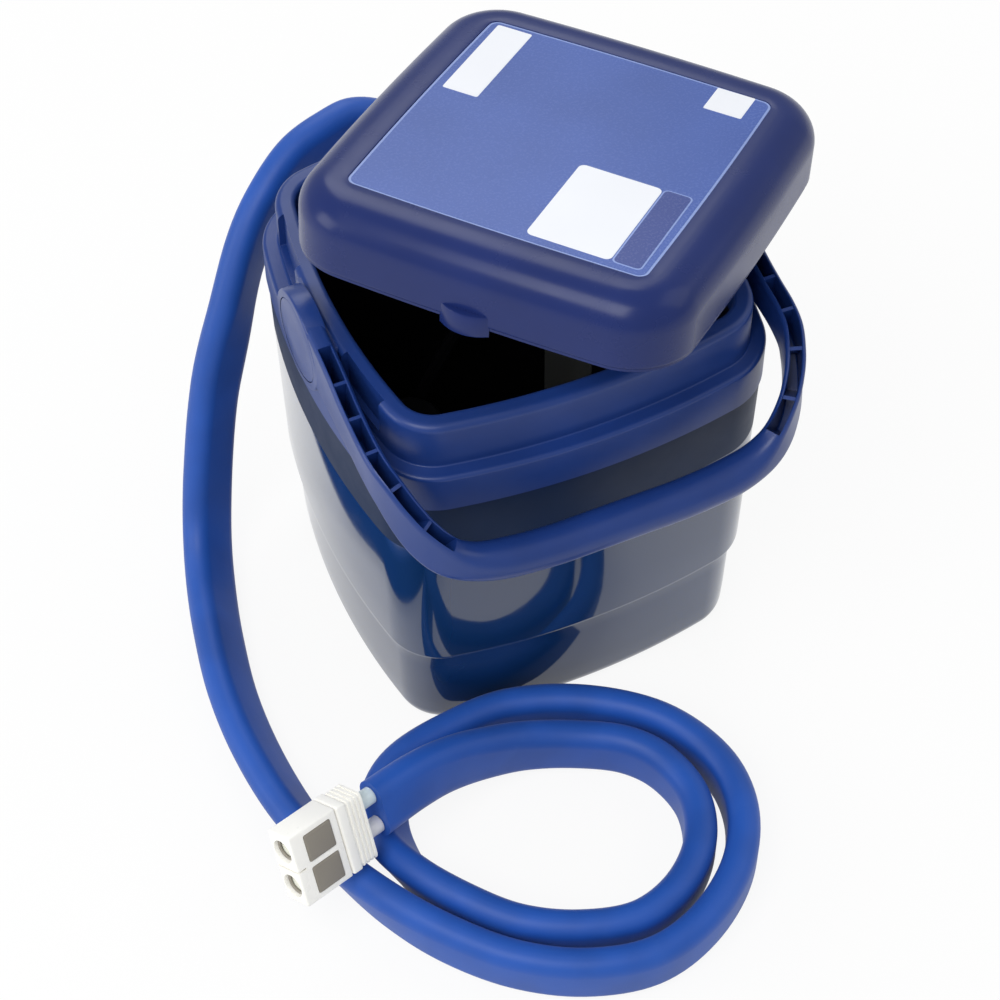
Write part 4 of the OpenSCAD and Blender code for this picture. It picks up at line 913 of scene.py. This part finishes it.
class THERAPY_OT_lid(bpy.types.Operator):
    """Build the lid's shell, its latch tabs and its underside plate"""
    bl_idname = "therapy.lid"
    bl_label = "Lid"

    def execute(self, context):
        w, r, at = LID_WALL, LID_EDGE_R, lid_matrix()
        inner_r = r - w
        levels = ([(-w - inner_r + inner_r * math.cos(a), -w - inner_r + inner_r * math.sin(a))
                   for a in np.linspace(math.pi / 2, 0, 9)]
                  + [(-w, -LID_H + 3), (-w - 0.01, -LID_H), (-0.9, -LID_H)]
                  + arc(-0.9, -LID_H + 0.9, 0.9, 290, 350, 4)
                  + [(0, -LID_H + 2), (0, -30), (0, -24)]
                  + [(-r + r * math.cos(a), -r + r * math.sin(a)) for a in np.linspace(0, math.pi / 2, 18)]
                  + [(-r - 2, 0.0)])
        rings = [level(out, z, LID_FORM) for out, z in levels]
        rings += [level(out, z, LABEL_FORM) for out, z in ((0.5, 0), (0.15, -0.1), (0, -0.35), (0, -LABEL_DEPTH))]
        points, faces = skin(rings)
        lid = piece("lid_shell_fine", moved(points, at), faces, "lid")
        lid = join("lid_shell_fine", [lid] + [self.tab(s, at) for s in (-1, 1)])
        self.keep(lid, "lid_shell", "lid_plastic")
        under = -LID_H - SEAT - PLATE_T
        points, faces = levels_solid([(-1.2, under), (-0.8, under + 0.4), (-0.8, -LID_H - SEAT)], at=at,
                                     form=LID_FORM)
        self.keep(piece("lid_base_fine", points, faces, "lid"), "lid_base", "lid_plastic")
        o, z = -PLUG_INSET, under - 0.02
        levels = [(o - PLUG_WALL, z), (o - PLUG_WALL, z - PLUG_H), (o - 0.8, z - PLUG_H),
                  (o - 0.2, z - PLUG_H + 0.25), (o, z - PLUG_H + 0.8), (o, z)]
        points, faces = levels_solid(levels, looped=True, at=at, form=LID_FORM)
        self.keep(piece("lid_plug_fine", points, faces, "pale"), "lid_plug", "pale_plastic")
        return {"FINISHED"}

    def keep(self, obj, node, slot):
        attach(obj, "lid")
        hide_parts(node)

    def tab(self, s, at):
        """A curved latch tab with a scooped underside that bows out of the lid's lower edge."""
        half, bow, t, n = TAB_W / 2, 5.0, 3.0, 25
        r = half * half / (2 * bow) + bow / 2
        x_in, centre = LID_W / 2 - 0.6, LID_W / 2 + bow - 0.6 - r
        z0, z1 = -LID_H - 6, -LID_H + 7
        across = np.linspace(-half, half, n)

        def row(radius, z):
            reach = [centre + math.sqrt(max(radius * radius - y * y, 0)) for y in across]
            return np.array([(s * max(x, x_in), y * s, z) for x, y in zip(reach, across)])

        root = np.array([(s * x_in, y * s, z1) for y in across])
        rings = [row(r - t, z0), row(r - 0.7, z0), row(r - 0.2, z0 + 0.2), row(r, z0 + 0.7), row(r, z1 - 1.0),
                 row(r - 0.3, z1 - 0.3), row(r - 1.0, z1), root]
        rings += [np.array([(s * x_in, y * s, z1 - 2.5) for y in across]), row(r - t, z1 - 2.5)]
        m = len(rings)
        faces = [(j * n + i, j * n + i + 1, (j + 1) % m * n + i + 1, (j + 1) % m * n + i) for j in range(m)
                 for i in range(n - 1)]
        faces += [tuple(j * n for j in range(m)), tuple(j * n + n - 1 for j in range(m - 1, -1, -1))]
        return piece("tab", moved(np.vstack(rings), at), faces, "lid")


class THERAPY_OT_label(bpy.types.Operator):
    """Lay the plain film with its blank panels in the lid's recess"""
    bl_idname = "therapy.label"
    bl_label = "Lid label"

    def execute(self, context):
        at, z = lid_matrix(), -LABEL_DEPTH
        layers = [
            ("label_edge", outline(-0.15, LABEL_FORM), 0.20),
            ("label", outline(-1.5, LABEL_FORM), 0.36),
            ("panel", rounded_rect(14.5, 58.5, 85, 79.5, 1.2), 0.52),
            ("panel", rounded_rect(-83, -63, -14, -16, 3.5), 0.52),
            ("label_edge", rounded_rect(-83.4, -80, -13.3, -63.5, 3.0), 0.52),
            ("label_deep", rounded_rect(-82.5, -79.1, -14.2, -64.4, 2.4), 0.68),
            ("panel", rounded_rect(66, -74, 88, -52, 0.8), 0.52),
        ]
        label = join("lid_label", [prism("sheet", flat, z, z + top, finish, at) for finish, flat, top in layers])
        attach(label, "lid")
        return {"FINISHED"}


# ------------------------------------------------------------------ hose and connector
def hose_stops(step=0.125):
    last = len(ROUTE) - 1
    return np.linspace(0, last, int(last / step) + 1)


class THERAPY_OT_hose(bpy.types.Operator):
    """Sweep the foam sleeve along its route"""
    bl_idname = "therapy.hose"
    bl_label = "Hose"

    def execute(self, context):
        looks = context.scene.therapy_hose
        rows = [on_curve(ROUTE, q) for q in hose_stops()]
        points = np.array([r[:3] for r in rows])
        tilts = [-math.radians(r[3]) for r in rows]
        sleeve = swept("hose_sleeve", points, tilts,
                       {"Width": looks.width, "Height": looks.height, "Corner": looks.corner}, "sleeve")
        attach(sleeve, "bucket")
        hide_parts("hose_free_run", "hose_loops", "hose_end_run")
        return {"FINISHED"}


def connector_matrix():
    """The connector's own frame: +X back along the hose, +Z up its height, -Y to the buttons' face."""
    last = len(ROUTE) - 1
    tip = ROUTE[last][:3]
    t, s, u = frame_at(ROUTE, last)
    a = math.radians(ROUTE[last][3])
    side, up = s * math.cos(a) - u * math.sin(a), u * math.cos(a) + s * math.sin(a)
    m = np.eye(4)
    m[:3, 0], m[:3, 1], m[:3, 2], m[:3, 3] = -t, -side, up, tip + t * BARE_TUBE
    return m


class THERAPY_OT_connector(bpy.types.Operator):
    """Build the quick connector with its sockets, ridged tail and release buttons"""
    bl_idname = "therapy.connector"
    bl_label = "Connector"

    def execute(self, context):
        at = connector_matrix()
        looks = context.scene.therapy_connector
        body = rounded_box("connector_body_fine", (-CONN_L, -CONN_T / 2, -CONN_H / 2),
                           (-TAIL_L - SEAT, CONN_T / 2, CONN_H / 2), 1.3, "acetal", at)
        cuts = []
        for s in (-1, 1):
            z = s * COUPLING_PITCH / 2
            cuts.append(self.bore(COUPLING_D / 2, -CONN_L - 1, -CONN_L + 14, z, at, 0.8))
            cuts.append(self.bore(3.05, -CONN_L + 12, -CONN_L + 25, z, at))
            zb, xb = s * BUTTON_PITCH / 2, -TAIL_L - 15
            cuts.append(rounded_box("well", (xb - BUTTON_W / 2 - SEAT, -CONN_T / 2 - 2, zb - BUTTON_H / 2 - SEAT),
                                    (xb + BUTTON_W / 2 + SEAT, -CONN_T / 2 + 4.3, zb + BUTTON_H / 2 + SEAT), 1.2,
                                    None, at, 3))
        cuts.append(rounded_box("split", (-CONN_L - 1, -CONN_T, -0.6), (-CONN_L + 6, CONN_T, 0.6), 0.25, None, at, 2))
        combine(body, cuts)
        self.keep(body, "connector_body", "connector_plastic")
        tail = [rounded_box("tail", (-TAIL_L, -CONN_T / 2 - 0.7, -CONN_H / 2 + 0.5),
                            (-TAIL_L + 7, CONN_T / 2 + 0.7, CONN_H / 2 - 0.5), 1.4, "acetal", at),
                rounded_box("neck", (-TAIL_L + 6, -CONN_T / 2 + 0.5, -CONN_H / 2 + 2),
                            (0, CONN_T / 2 - 0.5, CONN_H / 2 - 2), 1.2, "acetal", at)]
        turn = at[:3, :3]
        rows = [((moved([(-10 + looks.ridge_pitch / MM * i, 0, 0)], at)[0]),
                 turn @ np.array([[0, 0, 1], [1, 0, 0], [0, 1, 0]]).astype(float),
                 (CONN_T + 1, CONN_H - 2, 1.3)) for i in range(looks.ridges)]
        tail.append(plates("ridges", rows, "acetal", 0.09))
        tail = join("connector_tail_fine", tail)
        self.keep(tail, "connector_tail", "connector_plastic")
        for s, end in ((1, "upper"), (-1, "lower")):
            zb, xb = s * BUTTON_PITCH / 2, -TAIL_L - 15
            button = rounded_box("release_buttons_" + end, (xb - BUTTON_W / 2, -CONN_T / 2 - 0.8, zb - BUTTON_H / 2),
                                 (xb + BUTTON_W / 2, -CONN_T / 2 - 0.8 + BUTTON_T, zb + BUTTON_H / 2), 0.9, "button",
                                 at)
            self.keep(button, "release_button_" + end, "button_plastic", "button_" + end)
        for s, end in ((1, "upper"), (-1, "lower")):
            self.keep(self.poppet(s, at, end), "valve_poppet_" + end, "valve_plastic", "poppet_" + end)
        tubes = [self.tube(s, at, finish, looks) for s, finish in ((1, "blue_tube"), (-1, "white_tube"))]
        self.keep(join("tube_ends_fine", tubes), "tube_ends", "blue_tube")
        return {"FINISHED"}

    def poppet(self, s, at, end):
        """A valve poppet: a dished head that nearly fills its socket, on a stem."""
        x = -CONN_L + 4.0
        profile = [(x + 0.8, 0.02), (x + 0.7, 3.2), (x + 0.2, 4.4), (x, 5.2), (x + 0.15, 5.9), (x + 0.5, 6.3),
                   (x + 1.4, 6.4), (x + 1.6, 6.0), (x + 1.6, 3.0), (x + 16.5, 3.0), (x + 16.5, 0.02)]
        points, faces = lathe(profile, (0, 0, s * COUPLING_PITCH / 2), (1, 0, 0), (0, 0, 1), 64)
        return piece("valve_poppet_" + end + "_fine", moved(points, at), faces, "poppet")

    def tube(self, s, at, finish, looks):
        """A bare water tube between the sleeve's end and its barb in the tail."""
        r, x0, x1 = TUBE_D / 2, -BARB_L, BARE_TUBE - 0.1
        profile = [(x0, r), (x1 - 0.5, r), (x1, r - 0.5), (x1, r - 1.8), (x1 - 8, r - 1.8), (x1 - 8, 0.02),
                   (x0, 0.02)]
        points, faces = lathe(profile, (0, 0, s * TUBE_PITCH / 2), (1, 0, 0), (0, 0, 1), 48)
        return piece("tube", moved(points, at), faces, finish)

    def keep(self, obj, node, slot, body="bucket"):
        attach(obj, body)
        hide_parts(node)

    def bore(self, r, x0, x1, z, at, flare=0.0):
        profile = [(x0, r + flare), (x0 + 1 + flare, r), (x1, r)] if flare else [(x0, r), (x1, r)]
        points, faces = lathe(profile, (0, 0, z), (1, 0, 0), (0, 0, 1), 64)
        return piece("bore", moved(points, at), faces, None)


# ------------------------------------------------------------------ pieces that keep their CAD shape
CAD_FINISHES = {
    "foam_insulation": "foam", "tank_liner": "tank", "collar_gasket": "rubber", "foot_pads": "rubber",
    "pivot_pins": "steel", "lid_foam": "foam", "lid_gasket": "pale_rubber", "pump_base": "pump",
    "filter_screen": "steel", "pump_casing": "pump", "pump_cover": "pump", "impeller": "impeller",
    "impeller_shaft": "steel", "pump_motor": "motor", "motor_can": "pump", "pump_screws": "steel",
    "feed_tube": "clear_tube", "return_tube": "clear_tube", "hose_gland": "handle", "gland_gasket": "rubber",
    "gland_nut": "handle", "gland_tubes": "blue_tube", "power_inlet": "rubber", "inlet_nut": "steel",
    "connector_seals": "seal_ring",
}


class THERAPY_OT_inner_parts(bpy.types.Operator):
    """Give the pump, tank, seals and fittings their finishes"""
    bl_idname = "therapy.inner_parts"
    bl_label = "Inner parts"

    def execute(self, context):
        for node, finish in CAD_FINISHES.items():
            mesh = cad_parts[node].data
            mesh.materials.clear()
            mesh.materials.append(Palette.get(finish))
        plate = self.wall_plate(62, 92, 27, 110)
        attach(plate, "bucket")
        return {"FINISHED"}


    def wall_plate(self, x0, x1, z0, z1):
        """A thin plate that follows the tank's rear wall."""
        plan = outline(TANK_BASE_OUT)
        keep = [i for i, (x, y) in enumerate(plan) if y > 40 and x0 < x < x1]
        rings = []
        for z in np.linspace(z0, z1, 5):
            face = TANK_BASE_OUT + TANK_TAPER * (z - 28)
            flat = np.vstack([outline(face - 0.7)[keep], outline(face - 0.2)[keep][::-1]])
            rings.append(np.column_stack([flat, np.full(len(flat), z)]))
        points, faces = skin(rings)
        return piece("inner_plate", points, faces, "inner_plate")


# ------------------------------------------------------------------ stage
class THERAPY_OT_stage(bpy.types.Operator):
    """Set the white floor, the soft lamps and the camera"""
    bl_idname = "therapy.stage"
    bl_label = "Stage"

    def execute(self, context):
        scene = context.scene
        scene.view_settings.view_transform = "Standard"
        self.floor()
        self.world(scene)
        self.lamp("key", (-1.1, -0.8, 2.1), 1.3, 26)
        self.lamp("side", (-2.0, 0.3, 0.9), 1.0, 10)
        self.lamp("fill", (1.6, -0.5, 1.5), 1.4, 5)
        self.lamp("back", (0.5, 1.8, 1.9), 1.4, 16)
        self.camera(scene)
        return {"FINISHED"}

    def floor(self):
        size = 4000.0
        floor = piece("floor", [(-size, -size, 0), (size, -size, 0), (size, size, 0), (-size, size, 0)],
                      [(0, 1, 2, 3)], None)
        f = Finish("white_floor")
        f.set(Base_Color=(0.86, 0.85, 0.83, 1), Roughness=0.9)
        glow = f.nodes.new("ShaderNodeEmission")
        glow.inputs["Color"].default_value = (1, 1, 1, 1)
        path = f.nodes.new("ShaderNodeLightPath")
        seen = Wire(f, path.outputs["Is Camera Ray"]) * 0.90
        bright = seen + Wire(f, path.outputs["Is Glossy Ray"]) * 0.6
        blend = f.node("ShaderNodeMixShader", {},
                       {0: bright, 1: Wire(f, f.bsdf.outputs[0]), 2: Wire(f, glow.outputs[0])})
        f.links.new(blend.socket, f.nodes["Material Output"].inputs["Surface"])
        floor.data.materials.append(f.material)

    def world(self, scene):
        world = bpy.data.worlds.new("studio")
        world.use_nodes = True
        scene.world = world
        nodes, links = world.node_tree.nodes, world.node_tree.links
        back = nodes["Background"]
        back.inputs["Color"].default_value = (0.93, 0.96, 1.0, 1)
        back.inputs["Strength"].default_value = 0.55
        white = nodes.new("ShaderNodeBackground")
        white.inputs["Color"].default_value = (1, 1, 1, 1)
        path = nodes.new("ShaderNodeLightPath")
        either = nodes.new("ShaderNodeMath")
        either.operation = "MAXIMUM"
        links.new(path.outputs["Is Camera Ray"], either.inputs[0])
        links.new(path.outputs["Is Transmission Ray"], either.inputs[1])
        mix = nodes.new("ShaderNodeMixShader")
        links.new(either.outputs[0], mix.inputs[0])
        links.new(back.outputs[0], mix.inputs[1])
        links.new(white.outputs[0], mix.inputs[2])
        links.new(mix.outputs[0], nodes["World Output"].inputs["Surface"])

    def lamp(self, name, at, size, power):
        data = bpy.data.lights.new(name, "AREA")
        data.shape, data.size, data.energy = "SQUARE", size, power
        obj = bpy.data.objects.new(name, data)
        bpy.context.scene.collection.objects.link(obj)
        obj.location = at
        obj.rotation_euler = (Vector((0, 0, 0.15)) - Vector(at)).to_track_quat("-Z", "Y").to_euler()

    def camera(self, scene):
        a, e, roll = (math.radians(v) for v in (CAM_AZ, CAM_EL, CAM_ROLL))
        back = Vector((math.sin(a) * math.cos(e), -math.cos(a) * math.cos(e), math.sin(e)))
        right = (-back).cross(Vector((0, 0, 1))).normalized()
        up = right.cross(-back)
        across = right * math.cos(roll) + up * math.sin(roll)
        over = up * math.cos(roll) - right * math.sin(roll)
        data = bpy.data.cameras.new("camera")
        data.lens, data.sensor_width, data.clip_end = CAM_LENS, 36.0, 20.0
        data.sensor_fit = "HORIZONTAL"
        camera = bpy.data.objects.new("camera", data)
        scene.collection.objects.link(camera)
        turn = Matrix((across, over, back)).transposed().to_4x4()
        camera.matrix_world = Matrix.Translation(CAM_TARGET + back * CAM_DIST) @ turn
        scene.camera = camera


# ------------------------------------------------------------------ add-on
class THERAPY_PT_panel(bpy.types.Panel):
    """Pieces of the therapy cooler"""
    bl_label = "Therapy Cooler"
    bl_idname = "THERAPY_PT_panel"
    bl_space_type = "VIEW_3D"
    bl_region_type = "UI"
    bl_category = "Therapy Cooler"

    def draw(self, context):
        scene = context.scene
        for group, names in ((scene.therapy_bucket,
                              ("shell", "collar", "lid", "label", "side_points", "corner_points")),
                             (scene.therapy_hose, ("sleeve", "width", "height", "corner", "tube")),
                             (scene.therapy_connector, ("body", "button", "ridges", "ridge_pitch"))):
            box = self.layout.box()
            for name in names:
                box.prop(group, name)
        for operator in OPERATORS:
            self.layout.operator(operator.bl_idname)


OPERATORS = (THERAPY_OT_stage, THERAPY_OT_shell, THERAPY_OT_collar, THERAPY_OT_handle, THERAPY_OT_lid,
             THERAPY_OT_label,
             THERAPY_OT_connector, THERAPY_OT_inner_parts, THERAPY_OT_hose)
GROUPS = {"therapy_bucket": BucketLooks, "therapy_hose": HoseLooks, "therapy_connector": ConnectorLooks}


def register():
    for group in GROUPS.values():
        bpy.utils.register_class(group)
    for name, group in GROUPS.items():
        setattr(bpy.types.Scene, name, PointerProperty(type=group))
    for operator in OPERATORS + (THERAPY_PT_panel,):
        bpy.utils.register_class(operator)


def unregister():
    for operator in reversed(OPERATORS + (THERAPY_PT_panel,)):
        bpy.utils.unregister_class(operator)
    for name in GROUPS:
        delattr(bpy.types.Scene, name)
    for group in GROUPS.values():
        bpy.utils.unregister_class(group)


def main():
    register()
    for operator in OPERATORS:
        group, name = operator.bl_idname.split(".")
        getattr(getattr(bpy.ops, group), name)()


if __name__ == "__main__":
    main()
